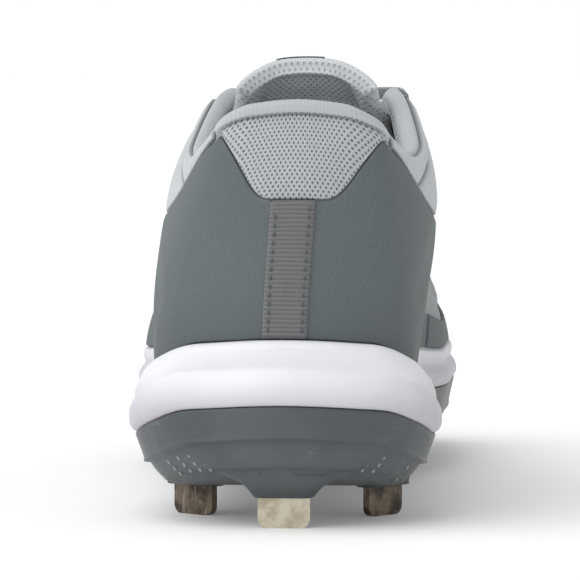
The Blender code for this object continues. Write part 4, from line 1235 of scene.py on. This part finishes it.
def make_webbing():
    share = webbing_share(0.0015, 0.002, 90)
    across = np.linspace(-WEBBING_WIDTH / 2, WEBBING_WIDTH / 2, 21)
    ring, shares = webbing_ring(across, share).ravel(), np.broadcast_to(share, (21, 90)).reshape(-1, 1)
    side = np.sqrt(np.clip(1 - np.linspace(-1, 1, 21) ** 20, 0, 1))
    ends = np.sqrt(np.clip(1 - np.linspace(-1, 1, 90) ** 60, 0, 1))
    rise = 0.0011 + WEBBING_THICKNESS * side[:, None] * ends
    outer = face(ring, shares, rise.reshape(-1, 1)).reshape(21, 90, 3)
    inner = face(ring, shares, 0.0011).reshape(21, 90, 3)
    up = (share - 1) * float(rib_length(np.zeros(1))[0])
    cloth = np.stack(np.broadcast_arrays(across[:, None], up[None]), -1)
    sheets = [(outer, cloth, 0), (inner, cloth, 0)]
    return build("heel_webbing", sheets, [LOOKS["webbing"]], "heel_webbing")


SOLE_RING = np.linspace(-1, 1, 421)
SOLE_STATION = fold(SOLE_RING)[0]
SOLE_FLARED = flare(SOLE_STATION)
SOLE_BOW = heel_bow(SOLE_STATION)
SOLE_LOW = foam_low(SOLE_STATION) + SOLE_BOW
SOLE_RIM = foam_rim(SOLE_STATION)
SOLE_UNDER = under_height(SOLE_STATION)
SOLE_LEDGE = SOLE_UNDER + (foam_low(SOLE_STATION) - SOLE_UNDER) * LEDGE(SOLE_STATION) + 0.7 * SOLE_BOW
HEEL_RISE = 0.0042


def plate_under(station):
    """Height of the plate's underside, which rises behind the heel's side spikes."""
    along = along_of(station)
    return under_height(station) + HEEL_RISE * ease((0.120 - along) / 0.085)


SOLE_ALONG = along_of(SOLE_STATION)
FORE_SLIM = 0.36 * ease((SOLE_ALONG - 0.40) / 0.16) * ease((0.98 - SOLE_ALONG) / 0.10)
SOLE_LIP = PLATE_LIP + FORE_SLIM * SOLE_FLARED


def foam_change(up):
    """How much fuller the foam is round the heel and in its groove there, and slimmer at the ball."""
    round_heel = ease(SOLE_ALONG / 0.05) * ease((0.36 - SOLE_ALONG) / 0.18)
    fuller = 0.10 * bump((up - 0.30) / 0.45) + 0.20 * bump((up - 0.58) / 0.34)
    return fuller * round_heel - FORE_SLIM


def sole_level(share, height):
    """A loop at a share of the flare in from the outline, at a height."""
    return level(SOLE_RING, np.asarray(share) * SOLE_FLARED, height)


def drawn_in(loop, shares, height_at, lift):
    """Loops drawn in to the centre line by each share, over a height function."""
    mirrored = loop[::-1]
    centre_y = np.clip((loop[:, 1] + mirrored[:, 1]) / 2, 0.12 * LENGTH, 0.90 * LENGTH)
    target = np.stack([CENTRE(station_of(centre_y / LENGTH)), centre_y], -1)
    loops = []
    for share in shares:
        points = loop.copy()
        points[:, :2] += (target - loop[:, :2]) * share
        points[:, 2] = height_at(station_of(points[:, 1] / LENGTH)) + lift
        loops.append(points)
    return loops


def sole_solid(name, loops, look):
    """A closed solid through loops that start and end on the centre line."""
    points = np.stack(loops, 1)
    cloth = np.stack(np.broadcast_arrays(arc(SOLE_RING)[:, None], distance_along(points[0])[None]), -1)
    return build(name, [(points, cloth, 0)], [LOOKS[look]], name)


def curve_of(table, number):
    """A smooth curve through two columns of a table that runs from 0 to 1."""
    at = np.array(column(table, 0), float)
    value = np.array(column(table, number), float)
    order = np.argsort(at)
    at, value = at[order], value[order]
    slope = np.gradient(value, at)

    def evaluate(x):
        i = np.clip(np.searchsorted(at, x, side="right") - 1, 0, len(at) - 2)
        return cubic(at, value, slope, i, x)

    return evaluate


def cup(gap):
    """The face between plate and foam, from its middle to its outer edge, moved by a gap."""
    floor = level(SOLE_RING, SOLE_LIP + 0.006 + gap, plate_under(SOLE_STATION) + PLATE_THICKNESS + gap)
    lip = level(SOLE_RING, SOLE_LIP + gap, SOLE_LOW + gap - 0.002)
    edge = level(SOLE_RING, SOLE_LIP - 0.001 + gap, SOLE_LOW + gap)
    return [*drawn_in(floor, (1.0, 0.5), plate_under, PLATE_THICKNESS + gap), floor, lip, edge]


def make_midsole():
    """The foam, with a full lower band, a soft groove and an upper band that cups the upper."""
    loops = cup(GAP)
    low, rim = SOLE_LOW + GAP, SOLE_RIM
    side = curve_of(FOAM_SIDE, 1)
    for up in np.concatenate([[0, 0.012, 0.03], np.linspace(0.06, 0.96, 46), [0.975, 0.99]]):
        inset = side(up) + 0.05 * (1 - min(up / 0.03, 1)) + 0.10 * max(0, (up - 0.955) / 0.045) ** 2
        inset = inset - foam_change(up)
        loops.append(sole_level(inset, low + (rim - low) * up))
    at_rim = share_at_height(SOLE_RING, rim)
    for part in (1.0, 0.8, 0.5, 0.2, 0.0):
        share = (at_rim * part)[:, None]
        loop = offset_surface(SOLE_RING, share, np.full(share.shape, GAP * 0.6))[:, 0]
        if part == 0.0:
            loop[:, 2] = bed_height(SOLE_STATION)
        loops.append(loop)
    loops += drawn_in(loops[-1], (0.35, 0.7, 1.0), bed_height, 0)
    return sole_solid("midsole", loops, "foam")


def plate_share(row, bulged, width):
    """Inset share of a row of the plate's side, fuller over the bulge at the heel."""
    x = level(SOLE_RING, row * SOLE_FLARED, 0)[:, 0]
    fade = np.clip(1.5 - np.abs(x) / (BULGE_WIDTH * width), 0, 1)
    return row + (bulged - row) * ease(fade) * ease((0.10 - SOLE_ALONG) / 0.04)


def make_outsole():
    """The moulded plate: a lip under the foam, a ledge round it, and a boss for each spike."""
    loops = cup(0)
    for part in (0.0, 0.03, 0.08, 0.2, 0.35, 0.5, 0.65, 0.8, 0.9, 0.96, 1.0):
        share = 0.10 + 0.36 * part + 0.05 * (1 - min(part / 0.08, 1)) - 0.06 * bump((part - 1.0) / 0.16)
        loops.append(sole_level(share + FORE_SLIM, SOLE_LOW + (SOLE_LEDGE - SOLE_LOW) * part))
    rows = np.array(PLATE_SIDE)[::-1]
    low = plate_under(SOLE_STATION)
    for up in (0.97, 0.93, 0.86, 0.75, 0.65, 0.55, 0.45, 0.35, 0.26, 0.18, 0.12, 0.07, 0.03, 0.0):
        plain, bulged, width = (np.interp(up, rows[:, 0], rows[:, n]) for n in (1, 2, 3))
        share = plate_share(plain, bulged, width)
        loops.append(sole_level(share + FORE_SLIM, low + (SOLE_LEDGE - low) * up))
    loops += drawn_in(loops[-1], (0.03, 0.08, 0.2, 0.35, 0.5, 0.65, 0.8, 0.9, 1.0), plate_under, 0)
    plate = sole_solid("outsole", loops, "plate")
    cut(plate, boss_tool(), "UNION")
    cut(plate, slot_tool(), "DIFFERENCE")
    return plate


def cut(target, other, operation):
    """Joins or subtracts a closed mesh, which is then removed."""
    modifier = target.modifiers.new("cut", "BOOLEAN")
    modifier.operation = operation
    modifier.solver = "EXACT"
    modifier.object = other
    graph = bpy.context.evaluated_depsgraph_get()
    mesh = bpy.data.meshes.new_from_object(target.evaluated_get(graph))
    target.modifiers.clear()
    target.data = mesh
    bpy.data.objects.remove(other)


def rounded_box(width, depth, corner, height, steps=6):
    """Points round a rectangle with round corners, at a height."""
    points = []
    for turn, (sx, sy) in enumerate(((1, 1), (-1, 1), (-1, -1), (1, -1))):
        for n in range(steps):
            angle = math.radians(90 * (turn + n / (steps - 1)))
            x = sx * (width / 2 - corner) + corner * math.cos(angle)
            y = sy * (depth / 2 - corner) + corner * math.sin(angle)
            points.append((x, y, height))
    return np.array(points)


def turned(points, degrees, x, y):
    angle = math.radians(degrees)
    cos, sin = math.cos(angle), math.sin(angle)
    moved = points.copy()
    moved[..., 0] = points[..., 0] * cos - points[..., 1] * sin + x
    moved[..., 1] = points[..., 0] * sin + points[..., 1] * cos + y
    return moved


def lofts(name, shapes):
    """One mesh of closed lofts, each a list of loops."""
    points, faces, start = [], [], 0
    for loops in shapes:
        count = len(loops[0])
        end = start + len(loops) * count
        for a in range(start, end - count, count):
            for i in range(count):
                j = (i + 1) % count
                faces.append((a + i, a + j, a + count + j, a + count + i))
        faces.append(tuple(range(start, start + count)))
        faces.append(tuple(range(end - count, end)))
        points.append(np.concatenate(loops))
        start = end
    mesh = bpy.data.meshes.new(name)
    mesh.from_pydata((np.concatenate(points) - MIDDLE).tolist(), [], faces)
    return mesh


def prisms(name, shapes, look="plate"):
    """A closed mesh that is cut from or joined to another, which takes its look there."""
    mesh = lofts(name, shapes)
    turned_out(mesh)
    mesh.materials.append(LOOKS[look])
    return add_object(name, mesh)


def spike_place(along, across):
    """Place of a spike on the plate's underside."""
    station = station_of(along)
    x = float(CENTRE(station) + across * HALF_WIDTH(station))
    return x, along * LENGTH, float(under_height(station))


HEEL_BEND = 15.0
HEEL_ROOT = 0.0028


def evenly(loop, count):
    """A closed loop drawn again with a number of evenly spaced points."""
    closed = np.concatenate([loop, loop[:1]])
    run = distance_along(closed)
    at = np.linspace(0, run[-1], count, endpoint=False)
    return np.stack([np.interp(at, run, closed[:, n]) for n in range(3)], -1)


def boss_tool():
    """Mouldings that carry the spikes, with hollow flanks that run out into the plate."""
    shapes = []
    for name, along, across, degrees in SPIKES:
        x, y, under = spike_place(along, across)
        rear = name == "spike_heel_rear"
        inward = 0.0022 * math.copysign(1.0, across)
        forward = 0.0035 if along < 0.2 else 0.0
        top = under + (HEEL_RISE + 0.0008 if rear else PLATE_THICKNESS / 2)
        loops = []
        for part in (0.0, 0.05, 0.15, 0.3, 0.45, 0.6, 0.75, 0.9, 1.0):
            foot = max(0.0, 0.06 - part) * 12
            spread = 0.0042 * (1 - foot * 0.35) + 0.0072 * part**2.4
            deep = 0.0050 * (1 - foot * 0.3) + 0.0075 * part**2.4
            if rear:
                spread = 0.0022 - 0.0010 * foot + 0.0085 * part + 0.0160 * part**3
                deep = 0.0046 - 0.0012 * foot + 0.0047 * part
            height = SPIKE_HEIGHT + (top - SPIKE_HEIGHT) * part
            corner = min(0.0024 + 0.0040 * part, 0.46 * (BLADE_THICKNESS + deep))
            loop = rounded_box(BLADE_WIDTH + spread, BLADE_THICKNESS + deep, corner, height)
            if rear:
                loop = evenly(loop, 96)
                loop[:, 1] += HEEL_BEND * part * loop[:, 0] ** 2
                loops.append(turned(loop, degrees, x, y))
            else:
                sunk = part**2.4
                loops.append(turned(loop, degrees, x - inward * sunk, y + forward * sunk))
        if along < 0.2:
            loops.append(loops[-1] + np.array([0, 0, HEEL_ROOT if rear else HEEL_ROOT / 2]))
        shapes.append(loops)
    return prisms("boss_tool", shapes)


def slot_tool():
    shapes = []
    for _, along, across, degrees in SPIKES:
        x, y, _ = spike_place(along, across)
        width, depth = BLADE_WIDTH + 2 * GAP, BLADE_THICKNESS + 2 * GAP
        heights = (SPIKE_HEIGHT - 0.002, SPIKE_HEIGHT + BLADE_ROOT + GAP)
        shapes.append([turned(rounded_box(width, depth, GAP, z, 2), degrees, x, y) for z in heights])
    return prisms("slot_tool", shapes)


def dress_spikes():
    """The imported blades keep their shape, and get fine bevels and their steel."""
    for name, *_ in SPIKES:
        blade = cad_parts[name]
        bevel = blade.modifiers.new("bevel", "BEVEL")
        bevel.width = 0.00035
        bevel.segments = 3
        bevel.limit_method = "ANGLE"
        blade.data.materials.clear()
        # The side blades take the darker copy of the steel, with painted shade.
        blade.data.materials.append(LOOKS["steel" if name == "spike_heel_rear" else "steel_shaded"])


def make_insole():
    base = bed_height(SOLE_STATION) + GAP
    outer = SOLE_FLARED + UPPER_WALL + 4 * GAP
    low = level(SOLE_RING, outer, base)
    loops = drawn_in(low, (1.0, 0.5), bed_height, GAP) + [low]
    for part in (0.5, 0.8, 1.0):
        loops.append(level(SOLE_RING, outer + 0.0004 * part**3, base + (INSOLE_THICKNESS + 0.0015) * part))
    top = loops[-1]
    for share in (0.02, 0.05, 0.09, 0.13, 0.17, 0.25, 0.35, 0.45, 0.55, 0.65, 0.75, 0.85, 0.93, 1.0):
        lift = GAP + INSOLE_THICKNESS + 0.0015 * ease((0.16 - share) / 0.15) - 0.0005 * ease(share / 0.6)
        loops += drawn_in(top, (share,), bed_height, lift)
    points = np.stack(loops, 1)
    cloth = points[..., :2].copy()
    made = build("insole", [(points, cloth, 0)], [LOOKS["insole"]], "insole")
    return made


TONGUE_SHARES = (0.80, 0.88, 0.955)


def through(points, at, axis):
    """Values at fractional positions along an axis, by a smooth curve through the points."""
    points = np.moveaxis(points, axis, 0)
    padded = np.concatenate([2 * points[:1] - points[1:2], points, 2 * points[-1:] - points[-2:-1]])
    low = np.clip(np.floor(at).astype(int), 0, len(points) - 2)
    t = (at - low).reshape(-1, *[1] * (points.ndim - 1))
    p = [padded[low + n] for n in range(4)]
    value = p[1] + 0.5 * t * (
        p[2] - p[0] + t * (2 * p[0] - 5 * p[1] + 4 * p[2] - p[3] + t * (3 * (p[1] - p[2]) + p[3] - p[0]))
    )
    return np.moveaxis(value, 0, axis)


def tongue_grid():
    """The tongue's middle rows of seven points and its thickness, from the toe end to its tip."""
    first = round(float(station_of(EYESTAY_EDGE[0][0])) * RING_POINTS / 2)
    rows = []
    for i in range(RING_POINTS // 2 - 1, first - 1, -1):
        ring = np.array([LAYOUT_RING[i], 2 - LAYOUT_RING[i]])
        shares = np.broadcast_to(TONGUE_SHARES, (2, 3))
        sides = offset_surface(ring, shares, -(wall(ring, shares) + 2 * GAP))
        middle = (sides[0, 2] + sides[1, 2]) / 2
        span = np.linalg.norm(sides[0, 2] - sides[1, 2])
        middle[2] += TONGUE_CROWN * np.clip((span - CROWN_SPAN) / 0.010, -0.5, 1)
        rows.append(np.array([*sides[0], middle, *sides[1][::-1]]))
    toe = np.array([1.0])
    shares = np.array([TONGUE_SHARES])
    front = offset_surface(toe, shares, -(wall(toe, shares) + 3 * GAP))[0]
    rows.insert(0, np.array([*front, front[2], *front[::-1]]))
    last = rows[-1]
    across = np.array([1.0, 0.80, 0.45, 0, -0.45, -0.80, -1.0])
    tip_x = last[3][0] + across * TONGUE_TOP_WIDTH / 2
    tip_y = last[3][1] - TONGUE_LEAN * (1 + 0.3 * across**2)
    tip_z = BED_AT_HEEL + TONGUE_TOP_HEIGHT - 0.0027 - 0.0086 * np.abs(across) ** 2.8
    thick = [TONGUE_THICKNESS] * len(rows)
    for inward, back, up, swell in TONGUE_TIP:
        x = last[:, 0] + (tip_x - last[:, 0]) * inward
        y = last[:, 1] + (tip_y - last[:, 1]) * back
        z = last[:, 2] + (tip_z - last[:, 2]) * up
        rows.append(np.stack([x, y, z], -1))
        thick.append(TONGUE_THICKNESS * swell)
    return np.array(rows), np.array(thick)


def round_the_rim(distance, radius=0.0022):
    """Distance along the cloth for a distance in from a rounded border, seen flat."""
    part = np.clip(distance / radius, 0, 1)
    return radius * (np.arccos(1 - part) - math.pi / 2 + 1) + np.maximum(distance - radius, 0)


def make_tongue():
    """A padded sheet under the throat's edges, whose free end stands up with a rounded, rolled rim."""
    rows, thick = tongue_grid()
    count = len(rows)
    border = np.array([0, 0.04, 0.12, 0.26, 0.45])
    down = np.concatenate([border, np.linspace(0.8, count - 1.8, 120), count - 1 - border[::-1] * 1.2])
    wide = np.concatenate([border * 0.5, np.linspace(0.35, 5.65, 50), 6 - border[::-1] * 0.5])
    grid = through(through(rows, down, 0), wide, 1)
    deep = np.interp(down, np.arange(count), thick)
    along, across = np.gradient(grid, axis=0), np.gradient(grid, axis=1)
    normal = np.cross(along, across)
    normal[0] = normal[1]
    normal = unit(normal)
    outside = grid - grid.mean(axis=1, keepdims=True) + [0, 0, TONGUE_TOP_WIDTH / 2]
    normal *= np.sign((normal * outside).sum(axis=-1, keepdims=True))
    run = distance_along(grid[:, 30])
    spread = np.linalg.norm(np.diff(grid, axis=1), axis=-1)
    spread = np.concatenate([np.zeros((len(down), 1)), np.cumsum(spread, axis=1)], 1)
    sideways = np.minimum(spread, spread[:, -1:] - spread)
    to_tip = (run[-1] - run)[:, None]
    to_toe = run[:, None]
    away = np.minimum(np.minimum(sideways, to_tip), to_toe)
    plump = rounded(away, 0.0022)
    free = ease((run - np.interp(count - 5.2, down, run)) / 0.010)[:, None]
    rim = np.minimum(to_tip, sideways + 0.002)
    from_centre = np.abs(wide / 3 - 1)[None]
    bowl = ease((0.74 - from_centre) / 0.30) * ease((to_tip - 0.0018) / 0.004) * free
    half = deep[:, None] / 2
    middle = grid - normal * half[..., None]
    outer = middle + normal * (half * plump)[..., None]
    inner = middle - normal * (half * plump + 0.0016 * (free - bowl) * plump)[..., None]
    held = away < 0.0015
    outer = billow(outer, held, 3.0, 0.0007)
    total = spread[:, -1:]
    u = np.where(spread < total / 2, round_the_rim(spread), total - round_the_rim(total - spread))
    v = np.broadcast_to(run[-1] - round_the_rim(to_tip), spread.shape)
    cloth = np.stack([u - total / 2, v], -1)
    sheets = [(outer, cloth, 0), (inner, cloth, 0)]
    edge = np.clip(rim / 0.0050, 0, 1)
    made = build("tongue", sheets, [LOOKS["tongue"]], "tongue", edge=[edge, edge])
    make_label(outer, cloth, run)
    return made


def make_label(outer, cloth, run):
    """A small plain woven patch on the tongue's face, ending just short of its top edge."""
    first = int(np.searchsorted(run, run[-1] - 0.008))
    last = int(np.searchsorted(run, run[-1] - 0.0007))
    patch, places_used = outer[first:last, 25:39], cloth[first:last, 25:39]
    out = np.cross(np.gradient(patch, axis=0), np.gradient(patch, axis=1))
    out = unit(out)
    out *= np.sign(out[0, 9] @ np.array([0, 1.0, 0.5]))
    return ribbon_solid("tongue_label", patch + out * 0.0004, patch + out * 0.00004, places_used, "label")


def ribbon_solid(name, upper, lower, cloth, look):
    """A thin solid between two sheets, with side walls."""
    sheets = [(upper, cloth, 0), (lower, cloth, 0)]
    for edge in ((0, slice(None)), (-1, slice(None)), (slice(None), 0), (slice(None), -1)):
        wall_points = np.stack([upper[edge], lower[edge]], 1)
        wall_cloth = np.stack([cloth[edge], cloth[edge]], 1)
        sheets.append((wall_points, wall_cloth, 0))
    return build(name, sheets, [LOOKS[look]], None)


def over_face(along, side, offset, below_edge):
    """Place and outward direction over the upper's face, a distance below the throat's edge."""
    station = float(station_of(along))
    ring = np.array([station if side > 0 else 2 - station])
    share = np.array([[1 - below_edge / float(rib_length(ring)[0])]])
    place = offset_surface(ring, share, np.array([[offset]]))[0, 0]
    outward = offset_surface(ring, share, np.array([[offset + 0.001]]))[0, 0] - place
    return place, unit(outward)


def eyelet_tool():
    """Round drills through eyestay and upper."""
    shapes = []
    for along in EYELETS:
        for side in (1, -1):
            place, outward = over_face(along, side, 0, EYELET_EDGE)
            across = np.cross(outward, [0, 1, 0])
            across = unit(across)
            angles = np.radians(np.arange(24) * 15)[:, None]
            circle = EYELET_RADIUS * (np.cos(angles) * across + np.sin(angles) * np.cross(outward, across))
            shapes.append([place + circle + outward * reach for reach in (-0.0088, 0.004)])
    return prisms("eyelet_tool", shapes, "dark")


def smooth_path(points, steps):
    at = np.linspace(0, len(points) - 1, steps)
    return through(np.array(points), at, 0)


def strap(path, normals, width, thick):
    """Loops of a flat woven strap with round edges along a path."""
    along = np.gradient(path, axis=0)
    along = unit(along)
    side = np.cross(along, normals)
    side = unit(side)
    up = np.cross(side, along)
    angles = np.linspace(0, 2 * math.pi, 21)
    shape_x = np.sign(np.cos(angles)) * np.abs(np.cos(angles)) ** 0.55
    shape_y = np.sign(np.sin(angles)) * np.abs(np.sin(angles)) ** 0.75
    loops = path[:, None] + side[:, None] * (shape_x * width[:, None] / 2)[..., None]
    loops = loops + up[:, None] * (shape_y * thick[:, None] / 2)[..., None]
    run = distance_along(path)
    cloth = np.stack([shape_x * width[:, None] / 2, np.broadcast_to(run[:, None], (len(path), 21))], -1)
    ends = []
    for n in (0, -1):
        middle = np.broadcast_to(path[n], (21, 3))
        ends.append((np.stack([loops[n], middle], 1), np.stack([cloth[n], cloth[n] * [0, 1]], 1), 0))
    return [(loops, cloth, 0), *ends]


def lace_end(start, end, side, lift):
    """Points and outward directions from inside an eyelet to the throat's edge, on the way to another."""
    stops = (
        (0.0, -0.0035, EYELET_EDGE + 0.0006),
        (0.0, lift - 0.0002, EYELET_EDGE - 0.0003),
        (0.16, lift + LACE_RISE * 0.35, 0.0030),
        (0.25, lift + LACE_RISE * 0.35, 0.0008),
    )
    found = [over_face(start + way * (end - start), side, offset, below) for way, offset, below in stops]
    points, normals = (np.array(part) for part in zip(*found))
    tilt = unit(points[3] - points[1])
    normals[0] = -tilt
    normals[1] -= tilt * 0.5
    return points, normals


def lace_run(stops, extra):
    """One lace: up through each eyelet, over its lip, across, and down into the next eyelet."""
    lift = 2 * GAP + OVERLAY + 0.0008 + extra
    for (n, side), (m, other) in zip(stops, stops[1:]):
        points, normals = lace_end(EYELETS[n], EYELETS[m], side, lift)
        far, far_normals = lace_end(EYELETS[m], EYELETS[n], other, lift)
        up = unit(normals[3] + far_normals[3])
        crest = (points[3] + far[3]) / 2 + up * (LACE_RISE + extra * 0.5)
        yield np.array([*points, crest, *far[::-1]]), np.array([*normals, up, *far_normals[::-1]])


def make_laces():
    """Flat laces through the eyelets, whose ends stop inside the top ones."""
    last = len(EYELETS) - 1
    one = [(n, 1 if (last - n) % 2 == 0 else -1) for n in range(last, -1, -1)]
    other = [(n, -side) for n, side in one]
    wide = smooth_path(np.array(LACE_WIDTHS)[:, None], 61)[:, 0]
    thick = LACE_THICKNESS + (LACE_WIDTH - wide) * 0.25
    sheets = []
    for stops, extra in ((one, 0.0), (other, LACE_THICKNESS), ([(last, 1), (last, -1)], 0.0)):
        for points, normals in lace_run(stops, extra):
            sheets += strap(smooth_path(points, 61), smooth_path(normals, 61), wide, thick)
    return build("laces", sheets, [LOOKS["lace"]], "laces")


def stitches(name, groups, width, look):
    """Short round threads between pairs of points, as one joined mesh."""
    starts, ends, outward = (np.concatenate(parts) for parts in zip(*groups))
    along = ends - starts
    side = unit(np.cross(along, outward))
    up = unit(np.cross(side, along))
    t = np.array([0, 0.08, 0.3, 0.7, 0.92, 1.0])
    girth = np.array([0.25, 0.75, 1.0, 1.0, 0.75, 0.25])
    angles = np.arange(8) * math.pi / 4
    ring = np.cos(angles)[:, None, None] * side + 0.6 * np.sin(angles)[:, None, None] * up
    points = starts + along * t[:, None, None]
    points = points[:, None] + ring * (girth * width / 2)[:, None, None, None]
    return finished(name, lofts(name, points.transpose(2, 0, 1, 3)), [LOOKS[look]])


def stitch_line(ring, share, offset, pitch, filled=0.62):
    """Starts, ends and outward directions of stitches along a line on the upper."""
    line = face(ring, share[:, None], offset)[:, 0]
    above = face(ring, share[:, None], offset + 0.001)[:, 0]
    run = distance_along(line)
    begin = np.arange(0.4 * pitch, run[-1] - pitch, pitch)

    def at(where, values):
        return np.stack([np.interp(where, run, values[:, n]) for n in range(3)], -1)

    starts, ends = at(begin, line), at(begin + pitch * filled, line)
    return starts, ends, at(begin, above) - starts


def make_stitches():
    ring = np.linspace(PAD_ENDS[0] * 0.95, PAD_ENDS[1] * 0.95, 161)
    line = stitch_line(ring, pad_high(ring) + 0.002, 0.0016, 0.0017)
    stitches("pad_stitches", [line], 0.0005, "pad_thread")

    share = webbing_share(0.012, 0.010, 81)
    edges = webbing_ring(np.array([-1, 1]) * (WEBBING_WIDTH / 2 - 0.0017), share)
    lines = [stitch_line(ring, share, 0.00215, 0.0024, 0.5) for ring in edges]
    stitches("webbing_stitches", lines, 0.0010, "dark_thread")

    start = float(station_of(EYESTAY_EDGE[0][0])) + 0.006
    ring = np.linspace(start, 2 - start, 400)
    shares = np.full(400, 0.955), edge_share(ring, EYESTAY_EDGE) + 0.022
    lines = [stitch_line(ring, share, 0.00118, 0.0028) for share in shares]
    stitches("eyestay_stitches", lines, 0.0006, "dark_thread")


def make_plate_bumps():
    """Rows of small moulded teeth on the plate beside the heel's side spikes."""
    found = []
    rows = np.array(PLATE_SIDE)[::-1]
    for side in (1, -1):
        ring = side * np.linspace(0, 0.35, 351)
        station = fold(ring)[0]
        under = under_height(station)
        ledge = under + (foam_low(station) - under) * LEDGE(station) + 0.7 * heel_bow(station)
        under = plate_under(station)
        lean = np.array([side * 0.0004, 0, 0.0007])
        for row, up in enumerate((0.62, 0.34, 0.12)):
            share = float(np.interp(up, rows[:, 0], rows[:, 1]))
            points = level(ring, share * flare(station), under + (ledge - under) * up)
            for n in range(6 - row):
                x = side * (0.0180 + 0.0030 * n + 0.0015 * row)
                best = int(np.argmin(np.abs(points[:, 0] - points[0, 0] - x)))
                out = unit(np.cross(points[min(best + 1, 350)] - points[best - 1], [0, 0, side]))
                place = points[best] + out * 0.0001
                found.append((place - lean, place + lean, out))
    # The teeth take the plate's look painted 55 lighter, as a painted highlight.
    stitches("plate_teeth", [[np.array(part) for part in zip(*found)]], 0.0010, "teeth")


# The photograph's camera: its place, focal length and picture width in pixels, and how far to the
# right of the view straight ahead, and below it, the picture's middle lies
CAMERA_PLACE = (0.0771, -1.306, 0.127)
CAMERA_FOCAL = 2340
CAMERA_ZOOM = 1.003
CAMERA_WIDTH = 320
CAMERA_RIGHT = 181 - 318
CAMERA_DOWN = 300 - 178
SENSOR = 36


def make_stage():
    """A pale floor, soft light from all round with more from above, and the photograph's camera."""
    mesh = bpy.data.meshes.new("floor")
    corners = [(-40, -20, 0), (40, -20, 0), (40, 80, 0), (-40, 80, 0)]
    mesh.from_pydata(corners, [], [(0, 1, 2, 3)])
    mesh.materials.append(LOOKS["floor"])
    floor = add_object("floor", mesh)
    make_light()
    make_camera()


def make_light():
    """White light from all round, half as strong from above, and a wide soft sun."""
    world = bpy.data.worlds.new("studio")
    world.use_nodes = True
    nodes, links = world.node_tree.nodes, world.node_tree.links
    direction = nodes.new("ShaderNodeSeparateXYZ")
    links.new(nodes.new("ShaderNodeTexCoord").outputs["Generated"], direction.inputs[0])
    height = nodes.new("ShaderNodeMapRange")
    height.interpolation_type = "SMOOTHSTEP"
    for number, value in ((1, 0.14), (2, 0.36), (3, 1.0), (4, 0.50)):
        height.inputs[number].default_value = value
    links.new(direction.outputs[2], height.inputs[0])
    backdrop = nodes["Background"]
    backdrop.inputs["Color"].default_value = (1, 1, 1, 1)
    links.new(height.outputs[0], backdrop.inputs["Strength"])
    bpy.context.scene.world = world
    bpy.context.scene.view_settings.view_transform = "Standard"
    light = bpy.data.lights.new("softbox", "SUN")
    light.energy = 2.0
    light.angle = math.radians(75)
    lamp = add_object("softbox", light)
    lamp.location = (-0.7, -0.9, 1.2)
    lamp.rotation_euler = Vector((0.66, 0.48, -1.0)).to_track_quat("-Z", "Y").to_euler()


def make_camera():
    camera = bpy.data.cameras.new("camera")
    camera.lens = CAMERA_FOCAL * CAMERA_ZOOM / CAMERA_WIDTH * SENSOR
    camera.sensor_width = SENSOR
    eye = add_object("camera", camera)
    eye.location = CAMERA_PLACE
    direction = Vector((CAMERA_RIGHT / CAMERA_FOCAL, 1, -CAMERA_DOWN / CAMERA_FOCAL))
    eye.rotation_euler = direction.to_track_quat("-Z", "Y").to_euler()
    bpy.context.scene.camera = eye


def main():
    make_stage()
    upper = make_upper()
    eyestay = make_overlays()
    cut(upper, eyelet_tool(), "DIFFERENCE")
    cut(eyestay, eyelet_tool(), "DIFFERENCE")
    make_heel_pad()
    make_collar_panels()
    make_webbing()
    make_stitches()
    make_midsole()
    make_outsole()
    make_plate_bumps()
    make_insole()
    make_tongue()
    make_laces()
    dress_spikes()


main()
